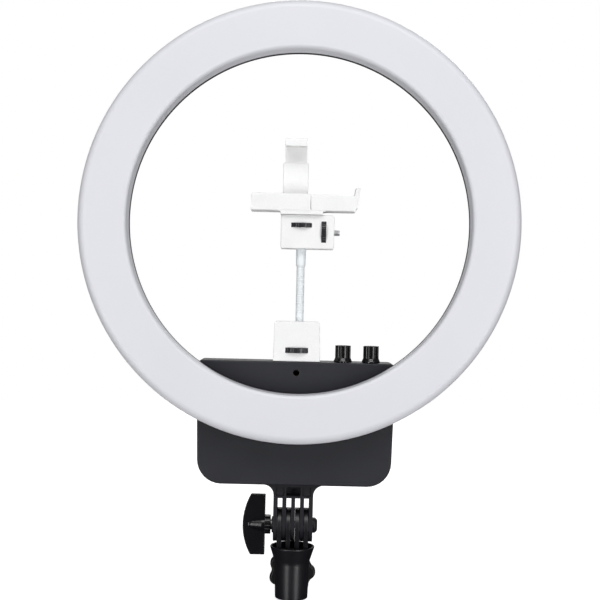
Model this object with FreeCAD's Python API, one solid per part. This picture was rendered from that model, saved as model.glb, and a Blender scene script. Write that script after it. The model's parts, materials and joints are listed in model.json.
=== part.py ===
import FreeCAD, Part
import math
import os

from FreeCAD import Vector

# Continuous ring lamp with a control box, a phone holder and a tilting stand socket.
# Millimetres. +Z is up and the lamp shines along -Y. The origin is the centre of the
# mouth of the socket that drops over a light stand's spigot.

# ---- stand socket -------------------------------------------------------------------
SPIGOT_HOLE_R = 8.1
SPIGOT_HOLE_DEPTH = 40.0
SOCKET_FOOT_R = 17.1
SOCKET_WAIST_R = 18.3
SOCKET_WAIST_Z = 38.0
SOCKET_RIM_R = 23.2
SOCKET_RIM_Z = 54.4
DISH_FLOOR_Z = 47.0

# ---- tilt joint ---------------------------------------------------------------------
PIVOT_Z = 76.3
FIN_R = 17.0
LOWER_FIN_R = 17.9
FIN_PITCH = 9.27
UPPER_FIN_THICK = 4.1
LOWER_FIN_THICK = 5.0
PIVOT_HOLE_R = 4.3
BLOCK_BOTTOM_Z = 106.7
BLOCK_HALF_X = 20.6
BLOCK_FLARE_R = 11.0
BOLT_R = 4.0
BRACKET_SCREW_XS = (-15.0, -5.0, 5.0, 15.0)

# ---- clamp screw behind the socket --------------------------------------------------
CLAMP_Z = 20.0
CLAMP_KNOB_R = 25.4
CLAMP_LOBES = 7

# ---- control box --------------------------------------------------------------------
BOX_BOTTOM_Z = 120.7
BOX_TOP_Z = 248.6
BOX_TOP_HALF_X = 103.0
BOX_BOTTOM_HALF_X = 100.0
BOX_FRONT_Y = -21.0
BOX_BACK_Y = 21.0
COVER_SEAM_Y = 13.0
BOX_WALL = 2.5
BOX_LOWER_CORNER_R = 25.0
BOX_UPPER_CORNER_R = 6.0
ACCESSORY_Z = 237.2
WIRE_HOLE_Z = 190.6
SWITCH_AT = (34.0, 150.0)
JACK_AT = (-34.0, 150.0)

# ---- ring ---------------------------------------------------------------------------
RING_CENTRE_Z = 391.1
RING_OUTER_R = 225.0
RING_INNER_R = 175.0
RING_FRONT_Y = -53.0
RING_BACK_Y = BOX_FRONT_Y
RING_SEAM_Y = -30.0
RING_WALL = 2.5
LEDS_PER_CIRCLE = 48

# ---- phone holder -------------------------------------------------------------------
QUARTER_INCH_R = 3.175
THREAD_R = QUARTER_INCH_R + 0.1
INSERT_R = 4.8
SIDE_SHANK_R = 3.0
HOLDER_Y = -6.0
NECK_X = 2.2
NECK_R = 4.0
NECK_BALL_R = 3.4
NECK_JOINT_Z = (297.5, 312.3, 327.1, 341.9)
BASE_TOP_Z = 290.2
HEAD_BOTTOM_Z = 365.8
HEAD_TOP_Z = 401.0
HEAD_LOW_X = -19.2
HEAD_HIGH_X = 36.2
BAR_BOTTOM_Z = 404.6
BAR_TOP_Z = 422.6
LEDGE_Z = 418.1
COLUMN_X = -5.0
JAW_TOP_Z = 479.9
JAW_LIP_Z = 474.5

# ---- dimmers ------------------------------------------------------------------------
KNOB_XS = {"left": 48.4, "right": 77.7}
KNOB_Y = -8.0
KNOB_R = 8.1
KNOB_SKIRT_R = 9.5
KNOB_HEIGHT = 17.1

X_AXIS = Vector(1, 0, 0)
Y_AXIS = Vector(0, 1, 0)
Z_AXIS = Vector(0, 0, 1)


# ---- small helpers ------------------------------------------------------------------
def block(low, high):
    """A box from its lowest to its highest corner."""
    size = [high[i] - low[i] for i in range(3)]
    return Part.makeBox(size[0], size[1], size[2], Vector(*low))


def rod(radius, start, length, axis):
    """A cylinder that starts at a point and runs along an axis."""
    return Part.makeCylinder(radius, length, Vector(*start), axis)


def tube(outer_r, inner_r, start, length, axis):
    """A plain bush."""
    return rod(outer_r, start, length, axis).cut(rod(inner_r, start, length, axis))


def joined(shapes):
    """One solid from several that touch or overlap."""
    whole = shapes[0].fuse(shapes[1:])
    return whole.removeSplitter()


def without(shape, tools):
    """A solid with several others taken out of it."""
    return shape.cut(Part.makeCompound(tools))


def prism(points, direction):
    """A flat outline pushed out along a vector."""
    corners = [Vector(*p) for p in points]
    outline = Part.makePolygon(corners + [corners[0]])
    return Part.Face(outline).extrude(Vector(*direction))


def edges_along(shape, axis, keep):
    """The straight edges parallel to an axis whose middle passes a test."""
    found = []
    for edge in shape.Edges:
        if not isinstance(edge.Curve, (Part.Line, Part.LineSegment)):
            continue
        middle = edge.CenterOfMass
        if abs(abs(edge.tangentAt(edge.FirstParameter).dot(axis)) - 1) < 1e-6 and keep(middle):
            found.append(edge)
    return found


def pan_screw(head_r, shank_r, length, seat, axis):
    """A cross-head screw: its seat is the underside of the head, its shank runs along the axis."""
    head_h = head_r * 0.7
    outward = axis * -1
    seat = Vector(*seat)
    head = Part.makeCylinder(head_r, head_h, seat, outward)
    rim = [e for e in head.Edges if (e.CenterOfMass - seat).dot(outward) > head_h * 0.9]
    head = head.makeFillet(head_h * 0.45, rim)
    shank = Part.makeCylinder(shank_r, length, seat, axis)
    side = axis.cross(Vector(0.3, 0.5, 0.8)).normalize()
    other = axis.cross(side)
    top = seat + outward * (head_h * 1.01)
    slots = []
    for first, second in ((side, other), (other, side)):
        corner = top - first * head_r * 0.55 - second * head_r * 0.11
        points = [corner, corner + first * head_r * 1.1]
        points.append(points[1] + second * head_r * 0.22)
        points.append(corner + second * head_r * 0.22)
        face = Part.Face(Part.makePolygon(points + [corner]))
        slots.append(face.extrude(axis * head_h * 0.6))
    return without(joined([head, shank]), slots)


def fluted(solid, centre, axis, radius, count, flute_r, length):
    """A round solid with grip flutes cut along its rim."""
    start = Vector(*centre)
    side = Z_AXIS if abs(axis.dot(Z_AXIS)) < 0.5 else X_AXIS
    flutes = []
    for i in range(count):
        turn = FreeCAD.Rotation(axis, 360.0 * i / count)
        flutes.append(Part.makeCylinder(flute_r, length, start + turn.multVec(side) * radius, axis))
    return without(solid, flutes)


def lead(points, radius, bend):
    """A wire bundle: straight runs joined by tangent arcs of one bend radius."""
    spots = [Vector(*p) for p in points]
    edges = []
    start = spots[0]
    for before, corner, after in zip(spots, spots[1:], spots[2:]):
        back = (before - corner).normalize()
        ahead = (after - corner).normalize()
        turn = math.pi - back.getAngle(ahead)
        reach = bend * math.tan(turn / 2)
        middle_dir = (back + ahead).normalize()
        middle = corner + middle_dir * (bend / math.cos(turn / 2) - bend)
        edges.append(Part.LineSegment(start, corner + back * reach).toShape())
        edges.append(Part.Arc(corner + back * reach, middle, corner + ahead * reach).toShape())
        start = corner + ahead * reach
    edges.append(Part.LineSegment(start, spots[-1]).toShape())
    path = Part.Wire(edges)
    section = Part.Wire(Part.makeCircle(radius, spots[0], spots[1] - spots[0]))
    return path.makePipeShell([section], True, False)


# ---- stand socket and its clamp screw -----------------------------------------------
def stand_socket():
    """Cup with a flared rim, a spigot bore from below and four hinge fins on top."""
    wall_edges = [
        Part.LineSegment(Vector(0, 0, 0), Vector(SOCKET_FOOT_R, 0, 0)),
        Part.LineSegment(Vector(SOCKET_FOOT_R, 0, 0), Vector(SOCKET_WAIST_R, 0, SOCKET_WAIST_Z)),
        Part.Arc(
            Vector(SOCKET_WAIST_R, 0, SOCKET_WAIST_Z),
            Vector(SOCKET_WAIST_R + 1.5, 0, SOCKET_WAIST_Z + 9),
            Vector(SOCKET_RIM_R, 0, SOCKET_RIM_Z - 1),
        ),
    ]
    rim_points = [(SOCKET_RIM_R, SOCKET_RIM_Z - 1), (SOCKET_RIM_R, SOCKET_RIM_Z)]
    rim_points += [(SOCKET_RIM_R - 1.4, SOCKET_RIM_Z), (18.0, DISH_FLOOR_Z), (0, DISH_FLOOR_Z), (0, 0)]
    for (r, z), (next_r, next_z) in zip(rim_points, rim_points[1:]):
        wall_edges.append(Part.LineSegment(Vector(r, 0, z), Vector(next_r, 0, next_z)))
    outline = Part.Wire([edge.toShape() for edge in wall_edges])
    cup = Part.Face(outline).revolve(Vector(0, 0, 0), Z_AXIS, 360)
    boss = rod(9.0, (0, 12, CLAMP_Z), 10.0, Y_AXIS)
    fins = []
    for step in (-1.5, -0.5, 0.5, 1.5):
        low_x = step * FIN_PITCH - LOWER_FIN_THICK / 2
        eye = rod(LOWER_FIN_R, (low_x, 0, PIVOT_Z), LOWER_FIN_THICK, X_AXIS)
        half_leg = [(12, DISH_FLOOR_Z - 1), (12, 54), (17.0, 70.8)]
        leg = half_leg + [(-y, z) for y, z in reversed(half_leg)]
        foot = prism([(low_x, y, z) for y, z in leg], (LOWER_FIN_THICK, 0, 0))
        fins.append(eye.fuse(foot))
    solid = joined([cup, boss] + fins)
    holes = [
        rod(SPIGOT_HOLE_R, (0, 0, -1), SPIGOT_HOLE_DEPTH + 1, Z_AXIS),
        rod(PIVOT_HOLE_R, (-30, 0, PIVOT_Z), 60, X_AXIS),
        rod(4.5, (0, 0, CLAMP_Z), 12, Y_AXIS),
        rod(6.0, (0, 10, CLAMP_Z), 15, Y_AXIS),
    ]
    return without(solid, holes)


def clamp_insert():
    """Brass threaded bush pressed into the socket's boss."""
    return tube(6.0, BOLT_R + 0.06, (0, 10, CLAMP_Z), 12.0, Y_AXIS)


def clamp_stud():
    """Steel screw that pinches the spigot. Its tip stands just clear of the bore's wall."""
    shank = rod(BOLT_R, (0, 8.6, CLAMP_Z), 31.4, Y_AXIS)
    return shank.makeChamfer(0.8, [shank.Edges[0]])


def clamp_knob():
    """Seven-lobed hand knob moulded on the stud."""
    start_y = 25.0
    body = rod(CLAMP_KNOB_R - 3.6, (0, start_y + 3, CLAMP_Z), 12, Y_AXIS)
    hub = rod(10.0, (0, start_y, CLAMP_Z), 20, Y_AXIS)
    lobes = []
    for i in range(CLAMP_LOBES):
        angle = math.radians(360.0 * i / CLAMP_LOBES - 2)
        reach = CLAMP_KNOB_R - 7.5
        centre = (reach * math.cos(angle), start_y + 3, CLAMP_Z + reach * math.sin(angle))
        lobes.append(rod(7.5, centre, 12, Y_AXIS))
    solid = joined([body, hub] + lobes)
    return solid.cut(rod(BOLT_R, (0, start_y - 1, CLAMP_Z), 16, Y_AXIS))


# ---- tilt joint ---------------------------------------------------------------------
def tilt_bracket():
    """Cored block that carries the lamp, with five hinge fins below it."""
    body = block((-BLOCK_HALF_X, -FIN_R, BLOCK_BOTTOM_Z), (BLOCK_HALF_X, FIN_R, BOX_BOTTOM_Z))
    parts = [body]
    for side in (-1, 1):
        corner = side * BLOCK_HALF_X
        outer = side * (BLOCK_HALF_X + BLOCK_FLARE_R)
        low_z = BOX_BOTTOM_Z - BLOCK_FLARE_R
        wedge = block((min(corner, outer), -FIN_R, low_z), (max(corner, outer), FIN_R, BOX_BOTTOM_Z))
        parts.append(wedge.cut(rod(BLOCK_FLARE_R - 0.4, (outer, -FIN_R - 1, low_z), 2 * FIN_R + 2, Y_AXIS)))
    for step in range(-2, 3):
        low_x = step * FIN_PITCH - UPPER_FIN_THICK / 2
        eye = rod(FIN_R, (low_x, 0, PIVOT_Z), UPPER_FIN_THICK, X_AXIS)
        low, high = (low_x, -FIN_R, PIVOT_Z), (low_x + UPPER_FIN_THICK, FIN_R, BLOCK_BOTTOM_Z + 1)
        parts.append(eye.fuse(block(low, high)))
    parts.append(rod(8.5, (-22.1, 0, PIVOT_Z), 2.5, X_AXIS))
    solid = joined(parts)
    cuts = [rod(PIVOT_HOLE_R, (-30, 0, PIVOT_Z), 60, X_AXIS)]
    pockets = ((-18.7, -9.2, 14.5), (-7.5, 7.5, 4.0), (9.2, 18.7, 14.5))
    for low_x, high_x, floor_y in pockets:
        for low_y, high_y in ((-FIN_R - 1, -floor_y), (floor_y, FIN_R + 1)):
            cuts.append(block((low_x, low_y, BLOCK_BOTTOM_Z + 2.2), (high_x, high_y, BOX_BOTTOM_Z - 2.6)))
    cuts += [rod(1.6, (x, 0, BOX_BOTTOM_Z - 7), 8, Z_AXIS) for x in BRACKET_SCREW_XS]
    return without(solid, cuts)


def tilt_nut():
    """Domed nut captive on the right-hand fin, with the bolt's end showing in it."""
    edges = [
        Part.LineSegment(Vector(20.6, 0, 4.06), Vector(20.6, 0, 8.0)),
        Part.LineSegment(Vector(20.6, 0, 8.0), Vector(22.0, 0, 8.0)),
        Part.Arc(Vector(22.0, 0, 8.0), Vector(24.7, 0, 6.8), Vector(25.8, 0, 4.9)),
        Part.LineSegment(Vector(25.8, 0, 4.9), Vector(25.8, 0, 4.06)),
        Part.LineSegment(Vector(25.8, 0, 4.06), Vector(20.6, 0, 4.06)),
    ]
    face = Part.Face(Part.Wire([edge.toShape() for edge in edges]))
    nut = face.revolve(Vector(0, 0, 0), X_AXIS, 360)
    nut.translate(Vector(0, 0, PIVOT_Z))
    return nut


def tilt_bolt():
    """Steel bolt moulded in the handle. It passes through every fin."""
    shank = rod(BOLT_R, (-36, 0, PIVOT_Z), 61.4, X_AXIS)
    head = rod(6.0, (-36, 0, PIVOT_Z), 5.0, X_AXIS)
    return joined([shank, head])


def handle_washer():
    """Plain washer between the handle's collar and the boss."""
    return tube(5.6, BOLT_R + 0.3, (-23.3, 0, PIVOT_Z), 1.2, X_AXIS)


def tilt_handle():
    """Crescent-winged hand nut: a straight inner edge, a bowed outer edge and a bullet hub."""
    inner_x, outer_x, half_z, flat_x = -29.1, -52.6, 31.5, -44.2
    arc = Part.Arc(Vector(flat_x, 0, half_z), Vector(outer_x, 0, 0), Vector(flat_x, 0, -half_z))
    edges = [
        arc.toShape(),
        Part.makeLine(Vector(flat_x, 0, -half_z), Vector(inner_x, 0, -half_z)),
        Part.makeLine(Vector(inner_x, 0, -half_z), Vector(inner_x, 0, half_z)),
        Part.makeLine(Vector(inner_x, 0, half_z), Vector(flat_x, 0, half_z)),
    ]
    wing = Part.Face(Part.Wire(edges)).extrude(Vector(0, 8, 0))
    wing.translate(Vector(0, -4, PIVOT_Z))
    bullet = Part.makeCone(2.6, 8.0, 18.0, Vector(-50.4, 0, PIVOT_Z), X_AXIS)
    hub = rod(8.0, (-32.6, 0, PIVOT_Z), 4.0, X_AXIS)
    collar = rod(10.0, (-29.1, 0, PIVOT_Z), 5.8, X_AXIS)
    collar = fluted(collar, (-29.1, 0, PIVOT_Z), X_AXIS, 10.2, 18, 0.8, 4.6)
    solid = joined([wing, bullet, hub, collar])
    inside = [rod(BOLT_R, (-36, 0, PIVOT_Z), 15, X_AXIS), rod(6.0, (-36, 0, PIVOT_Z), 5, X_AXIS)]
    return without(solid, inside)


# ---- control box --------------------------------------------------------------------
def box_form(inset, low_y, high_y):
    """The box's outline, pulled in by an inset, between two depths."""
    top, bottom = BOX_TOP_HALF_X - inset, BOX_BOTTOM_HALF_X - inset
    low_z, high_z = BOX_BOTTOM_Z + inset, BOX_TOP_Z - inset
    points = [(-bottom, low_y, low_z), (bottom, low_y, low_z), (top, low_y, high_z), (-top, low_y, high_z)]
    solid = prism(points, (0, high_y - low_y, 0))
    middle_z = (low_z + high_z) / 2
    lower = edges_along(solid, Y_AXIS, lambda m: m.z < middle_z)
    solid = solid.makeFillet(BOX_LOWER_CORNER_R - inset, lower)
    upper = edges_along(solid, Y_AXIS, lambda m: m.z > high_z - 0.5 and abs(m.x) > top - 0.5)
    return solid.makeFillet(BOX_UPPER_CORNER_R - inset, upper)


def softened(solid, at_y, radius):
    """A box half with the edge round its outer face rounded off."""
    flat = [e for e in solid.Edges if e.BoundBox.YLength < 0.01]
    return solid.makeFillet(radius, [e for e in flat if abs(e.BoundBox.YMin - at_y) < 0.01])


COVER_SCREW_SPOTS = [(-92, 224), (92, 224), (-91, 180), (91, 180), (-80, 136), (80, 136)]
BOARD_SPOTS = [(-64, 150), (64, 150), (-64, 212), (64, 212)]
RING_SCREW_ANGLES = (-24, -10, 10, 24)


def ring_screw_spots():
    """Where the ring is screwed to the box: four places on the ring's middle circle."""
    middle_r = (RING_OUTER_R + RING_INNER_R) / 2
    turns = [math.radians(a) for a in RING_SCREW_ANGLES]
    return [(middle_r * math.sin(t), RING_CENTRE_Z - middle_r * math.cos(t)) for t in turns]


def box_front_shell():
    """Front half of the control box, with bosses for everything screwed into it."""
    outer = softened(box_form(0, BOX_FRONT_Y, COVER_SEAM_Y), BOX_FRONT_Y, 1.6)
    inner_y = BOX_FRONT_Y + BOX_WALL
    solid = outer.cut(box_form(BOX_WALL, inner_y, COVER_SEAM_Y + 1))
    bosses = [
        rod(6.5, (0, BOX_FRONT_Y + 0.5, ACCESSORY_Z), 8.5, Y_AXIS),
        rod(6.5, (0, HOLDER_Y, BOX_TOP_Z - 10), 9.5, Z_AXIS),
    ]
    boss_length = COVER_SEAM_Y - inner_y - 1.5
    bosses += [rod(4.0, (x, inner_y - 1, z), boss_length, Y_AXIS) for x, z in COVER_SCREW_SPOTS]
    bosses += [rod(3.4, (x, inner_y - 1, z), 9.5, Y_AXIS) for x, z in BOARD_SPOTS]
    solid = joined([solid] + bosses)
    cuts = [
        rod(THREAD_R, (0, BOX_FRONT_Y - 1, ACCESSORY_Z), 9, Y_AXIS),
        rod(INSERT_R, (0, inner_y, ACCESSORY_Z), 9, Y_AXIS),
        rod(INSERT_R, (0, HOLDER_Y, BOX_TOP_Z - 9), 10, Z_AXIS),
        rod(6.0, (0, BOX_FRONT_Y - 1, WIRE_HOLE_Z), 5, Y_AXIS),
    ]
    cuts += [rod(3.6, (x, KNOB_Y, BOX_TOP_Z - 5), 10, Z_AXIS) for x in KNOB_XS.values()]
    cuts += [rod(2.1, (x, BOX_FRONT_Y - 1, z), 6, Y_AXIS) for x, z in ring_screw_spots()]
    cuts += [rod(1.4, (x, 2, z), 12, Y_AXIS) for x, z in COVER_SCREW_SPOTS]
    cuts += [rod(1.2, (x, -15, z), 8, Y_AXIS) for x, z in BOARD_SPOTS]
    cuts += [rod(2.1, (x, 0, BOX_BOTTOM_Z - 1), 5, Z_AXIS) for x in BRACKET_SCREW_XS]
    return without(solid, cuts)


def box_rear_cover():
    """Lid of the control box, with vents, the switch cut-out and the supply jack's hole."""
    outer = softened(box_form(0, COVER_SEAM_Y, BOX_BACK_Y), BOX_BACK_Y, 3.0)
    shell = outer.cut(box_form(BOX_WALL, COVER_SEAM_Y - 1, BOX_BACK_Y - BOX_WALL))
    lip = box_form(BOX_WALL + 0.3, COVER_SEAM_Y - 2.5, BOX_BACK_Y - BOX_WALL)
    lip = lip.cut(box_form(BOX_WALL + 1.8, COVER_SEAM_Y - 3, BOX_BACK_Y))
    posts = [rod(4.0, (x, COVER_SEAM_Y - 1.4, z), 8, Y_AXIS) for x, z in COVER_SCREW_SPOTS]
    solid = joined([shell, lip] + posts)
    cuts = []
    for x, z in COVER_SCREW_SPOTS:
        cuts.append(rod(1.7, (x, 5, z), 20, Y_AXIS))
        cuts.append(rod(3.4, (x, BOX_BACK_Y - 3, z), 4, Y_AXIS))
    for row in range(5):
        for side in (-1, 1):
            low_x, low_z = side * 38 - 22, 176 + 9 * row
            cuts.append(block((low_x, 15, low_z), (low_x + 44, 25, low_z + 2.6)))
    switch_x, switch_z = SWITCH_AT
    cuts.append(block((switch_x - 9.6, 5, switch_z - 6.6), (switch_x + 9.6, 25, switch_z + 6.6)))
    cuts.append(rod(5.6, (JACK_AT[0], 5, JACK_AT[1]), 20, Y_AXIS))
    return without(solid, cuts)


def cover_screws():
    """Six screws that hold the rear cover."""
    return [pan_screw(2.9, 1.4, 14, (x, BOX_BACK_Y - 3, z), Y_AXIS * -1) for x, z in COVER_SCREW_SPOTS]


def box_screws():
    """Eight screws driven from inside the box: four into the tilt bracket, four into the ring."""
    down, forward = Z_AXIS * -1, Y_AXIS * -1
    seats = [((x, 0, BOX_BOTTOM_Z + BOX_WALL), down) for x in BRACKET_SCREW_XS]
    seats += [((x, BOX_FRONT_Y + BOX_WALL, z), forward) for x, z in ring_screw_spots()]
    return [pan_screw(3.6, 1.6, 6.5, seat, axis) for seat, axis in seats]


def accessory_insert():
    """Brass bush with a quarter-inch thread, pressed in behind the front wall of the box."""
    return tube(INSERT_R, THREAD_R, (0, BOX_FRONT_Y + BOX_WALL, ACCESSORY_Z), 6.5, Y_AXIS)


def holder_insert():
    """Brass bush with a quarter-inch thread in the top of the box."""
    return tube(INSERT_R, QUARTER_INCH_R + 0.08, (0, HOLDER_Y, BOX_TOP_Z - 9), 9, Z_AXIS)


def driver_board():
    """Circuit board that dims and drives the lamps."""
    board = block((-72, -10.0, 144), (72, -8.4, 218))
    return without(board, [rod(1.7, (x, -12, z), 5, Y_AXIS) for x, z in BOARD_SPOTS])


def board_screws():
    """Four screws that hold the driver board on its posts."""
    return [pan_screw(2.4, 1.2, 6, (x, -8.4, z), Y_AXIS * -1) for x, z in BOARD_SPOTS]


def heat_sink():
    """Finned aluminium block on the power transistors."""
    base = block((-28, -8.4, 196), (22, -5.4, 214))
    fins = [block((-28 + 6.0 * i, -5.5, 196), (-26 + 6.0 * i, 6, 214)) for i in range(9)]
    return joined([base] + fins)


def driver_coil():
    """Toroidal choke standing on the board."""
    return Part.makeTorus(8.0, 3.4, Vector(-50, -5.0, 182), Y_AXIS)


def driver_capacitors():
    """Three smoothing capacitors."""
    return [rod(5.0, (-26 + 13 * i, -8.4, 170), 15, Y_AXIS) for i in range(3)]


def dc_jack():
    """Round supply inlet for a barrel plug, with its centre contact."""
    x, z = JACK_AT
    collar = rod(5.5, (x, 15.5, z), 6.3, Y_AXIS)
    flange = rod(7.2, (x, BOX_BACK_Y, z), 1.6, Y_AXIS)
    body = block((x - 5.5, 7.5, z - 5.5), (x + 5.5, 18.4, z + 5.5))
    solid = joined([collar, flange, body]).cut(rod(2.9, (x, 12.6, z), 12, Y_AXIS))
    contact = rod(1.0, (x, 12.0, z), 9.2, Y_AXIS)
    return joined([solid, contact])


def switch_housing():
    """Snap-in body and bezel of the power switch."""
    x, z = SWITCH_AT
    bezel = block((x - 11.5, BOX_BACK_Y, z - 8.5), (x + 11.5, BOX_BACK_Y + 1.6, z + 8.5))
    bezel = bezel.makeFillet(1.5, edges_along(bezel, Y_AXIS, lambda m: True))
    body = block((x - 9.4, 7.0, z - 6.4), (x + 9.4, BOX_BACK_Y + 0.1, z + 6.4))
    cavity = block((x - 8.6, 8.6, z - 5.4), (x + 8.6, 30, z + 5.4))
    return joined([bezel, body]).cut(cavity)


def power_rocker():
    """Rocker, at rest with its right-hand end pressed in."""
    x, z = SWITCH_AT
    pivot_y = 17.0
    outline = [(-7.2, 6.2), (0, 4.9), (7.2, 6.2), (7.2, 1.0), (3.0, -4.5), (-3.0, -4.5), (-7.2, 1.0)]
    solid = prism([(x + dx, pivot_y + dy, z - 5.0) for dx, dy in outline], (0, 0, 10.0))
    solid.rotate(Vector(x, pivot_y, z), Z_AXIS, -9)
    return solid


def box_leads():
    """Wire pairs from the supply inlet and the power switch to the driver board."""
    pairs = []
    for (x, z), start_y, aside in ((JACK_AT, 7.5, -9), (SWITCH_AT, 7.0, 9)):
        landing = (x + aside, z + 9)
        path = [(x, start_y, z), (x, 1.0, z)]
        path += [(landing[0], 1.0, landing[1]), (landing[0], -8.4, landing[1])]
        pairs.append(lead(path, 1.5, 3.0))
    return pairs


def led_lead():
    """Wire bundle from the driver board straight through the wall to the lamp panel."""
    return rod(2.0, (0, -25.4, WIRE_HOLE_Z), 15.4, Y_AXIS)


def wire_grommet():
    """Rubber grommet round the wire bundle where it leaves the box."""
    neck = rod(6.0, (0, BOX_FRONT_Y + 0.1, WIRE_HOLE_Z), 2.4, Y_AXIS)
    flange = rod(8.0, (0, BOX_FRONT_Y + BOX_WALL, WIRE_HOLE_Z), 1.4, Y_AXIS)
    return joined([neck, flange]).cut(rod(2.1, (0, -25, WIRE_HOLE_Z), 12, Y_AXIS))


# ---- dimmers ------------------------------------------------------------------------
def dimmer_pot(x):
    """Potentiometer can with its threaded neck."""
    top = BOX_TOP_Z - BOX_WALL
    can = rod(8.0, (x, KNOB_Y, top - 8), 8, Z_AXIS)
    neck = rod(3.5, (x, KNOB_Y, top - 0.5), 7.0, Z_AXIS)
    tags = []
    for step in (-1, 0, 1):
        low_x = x + 4.5 * step - 1
        tags.append(block((low_x, KNOB_Y + 6, top - 13), (low_x + 2, KNOB_Y + 6.8, top - 7)))
    solid = joined([can, neck] + tags)
    return solid.cut(rod(3.05, (x, KNOB_Y, top - 5), 20, Z_AXIS))


def pot_nuts():
    """Two thin hexagon nuts that fix the potentiometers, hidden under the knobs."""
    nuts = []
    for x in KNOB_XS.values():
        turns = [math.radians(60 * i) for i in range(6)]
        corners = [(x + 5.8 * math.cos(t), KNOB_Y + 5.8 * math.sin(t), BOX_TOP_Z + 0.7) for t in turns]
        nut = prism(corners, (0, 0, 2.0))
        nuts.append(nut.cut(rod(3.5, (x, KNOB_Y, BOX_TOP_Z), 5, Z_AXIS)))
    return nuts


def pot_washers():
    """Two washers under the potentiometer nuts."""
    return [tube(6.0, 3.6, (x, KNOB_Y, BOX_TOP_Z), 0.7, Z_AXIS) for x in KNOB_XS.values()]


def dimmer_shaft(x):
    """Turning shaft of one potentiometer."""
    return rod(3.0, (x, KNOB_Y, BOX_TOP_Z - BOX_WALL - 4.8), 20.6, Z_AXIS)


def dimmer_knob(x):
    """Fluted knob with a skirt, hollow underneath where it covers the nut."""
    base = BOX_TOP_Z + 0.4
    body = rod(KNOB_R, (x, KNOB_Y, base), KNOB_HEIGHT, Z_AXIS)
    top_edge = [e for e in body.Edges if e.CenterOfMass.z > base + KNOB_HEIGHT - 0.1]
    body = body.makeFillet(0.8, top_edge)
    body = fluted(body, (x, KNOB_Y, base + 4.2), Z_AXIS, KNOB_R + 0.35, 20, 0.75, KNOB_HEIGHT - 6.0)
    skirt = Part.makeCone(KNOB_SKIRT_R, KNOB_R + 0.2, 3.6, Vector(x, KNOB_Y, base), Z_AXIS)
    solid = joined([body, skirt])
    hollow = rod(6.6, (x, KNOB_Y, base - 1), 5.2, Z_AXIS)
    return without(solid, [hollow, rod(3.0, (x, KNOB_Y, base), 13.7, Z_AXIS)])


# ---- ring ---------------------------------------------------------------------------
def ring_band(outer_r, inner_r, low_y, high_y):
    """A flat-sided annulus round the ring's centre."""
    return tube(outer_r, inner_r, (0, low_y, RING_CENTRE_Z), high_y - low_y, Y_AXIS)


def front_edges(solid, at_y, radius):
    """The round edges of one radius that lie at one depth."""
    level = [e for e in solid.Edges if abs(e.BoundBox.YMax - at_y) < 0.01]
    return [e for e in level if abs(e.BoundBox.XMax - radius) < 0.01]


def ring_diffuser():
    """Milky channel that closes the front of the ring and wraps over both of its edges."""
    solid = ring_band(RING_OUTER_R, RING_INNER_R, RING_FRONT_Y, RING_SEAM_Y)
    solid = solid.makeFillet(9.0, front_edges(solid, RING_FRONT_Y, RING_OUTER_R))
    solid = solid.makeFillet(4.0, front_edges(solid, RING_FRONT_Y, RING_INNER_R))
    low_r, high_r = RING_INNER_R + RING_WALL, RING_OUTER_R - RING_WALL
    hollow = ring_band(high_r, low_r, RING_FRONT_Y + RING_WALL, RING_SEAM_Y)
    front = [e for e in hollow.Edges if abs(e.BoundBox.YMax - RING_FRONT_Y - RING_WALL) < 0.01]
    hollow = hollow.makeFillet(3.0, front)
    return solid.cut(hollow)


def diffuser_screw_spots():
    """Ten places round the ring, just inside its outer wall, clear of the control box."""
    reach = RING_OUTER_R - 8
    turns = [math.radians(30 * i - 45) for i in range(10)]
    return [(reach * math.cos(t), RING_CENTRE_Z + reach * math.sin(t)) for t in turns]


def ring_housing():
    """Shallow black tray behind the lamps, with a lip that the diffuser slips over."""
    tray = ring_band(RING_OUTER_R, RING_INNER_R, RING_SEAM_Y, RING_BACK_Y)
    back = [e for e in tray.Edges if abs(e.BoundBox.YMin - RING_BACK_Y) < 0.01]
    tray = tray.makeFillet(2.0, back)
    low_r, high_r = RING_INNER_R + RING_WALL, RING_OUTER_R - RING_WALL
    tray = tray.cut(ring_band(high_r, low_r, RING_SEAM_Y - 1, RING_BACK_Y - RING_WALL))
    lips = [
        ring_band(RING_OUTER_R - 2.7, RING_OUTER_R - 4.2, RING_SEAM_Y - 3.0, RING_BACK_Y - 2),
        ring_band(RING_INNER_R + 4.2, RING_INNER_R + 2.7, RING_SEAM_Y - 3.0, RING_BACK_Y - 2),
        ring_band(RING_OUTER_R - 2.5, RING_OUTER_R - 4.2, RING_SEAM_Y + 0.5, RING_BACK_Y - 2),
        ring_band(RING_INNER_R + 4.2, RING_INNER_R + 2.5, RING_SEAM_Y + 0.5, RING_BACK_Y - 2),
    ]
    posts = [rod(3.5, (x, -25.4, z), 3, Y_AXIS) for x, z in diffuser_screw_spots()]
    posts += [rod(4.0, (x, -25.4, z), 3, Y_AXIS) for x, z in ring_screw_spots()]
    solid = joined([tray] + lips + posts)
    cuts = [rod(1.6, (x, -30, z), 15, Y_AXIS) for x, z in ring_screw_spots()]
    cuts += [rod(1.3, (x, -30, z), 15, Y_AXIS) for x, z in diffuser_screw_spots()]
    cuts.append(rod(6.0, (0, -30, WIRE_HOLE_Z), 15, Y_AXIS))
    return without(solid, cuts)


def led_panel():
    """Ring-shaped circuit board that carries the lamps."""
    board = ring_band(RING_OUTER_R - 4.6, RING_INNER_R + 4.6, -27.0, -25.4)
    holes = [rod(1.3, (x, -30, z), 10, Y_AXIS) for x, z in diffuser_screw_spots()]
    return without(board, holes)


def panel_screws():
    """Ten screws through the back of the tray that hold the lamp panel."""
    return [pan_screw(2.6, 1.3, 7.0, (x, RING_BACK_Y, z), Y_AXIS * -1) for x, z in diffuser_screw_spots()]


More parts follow.
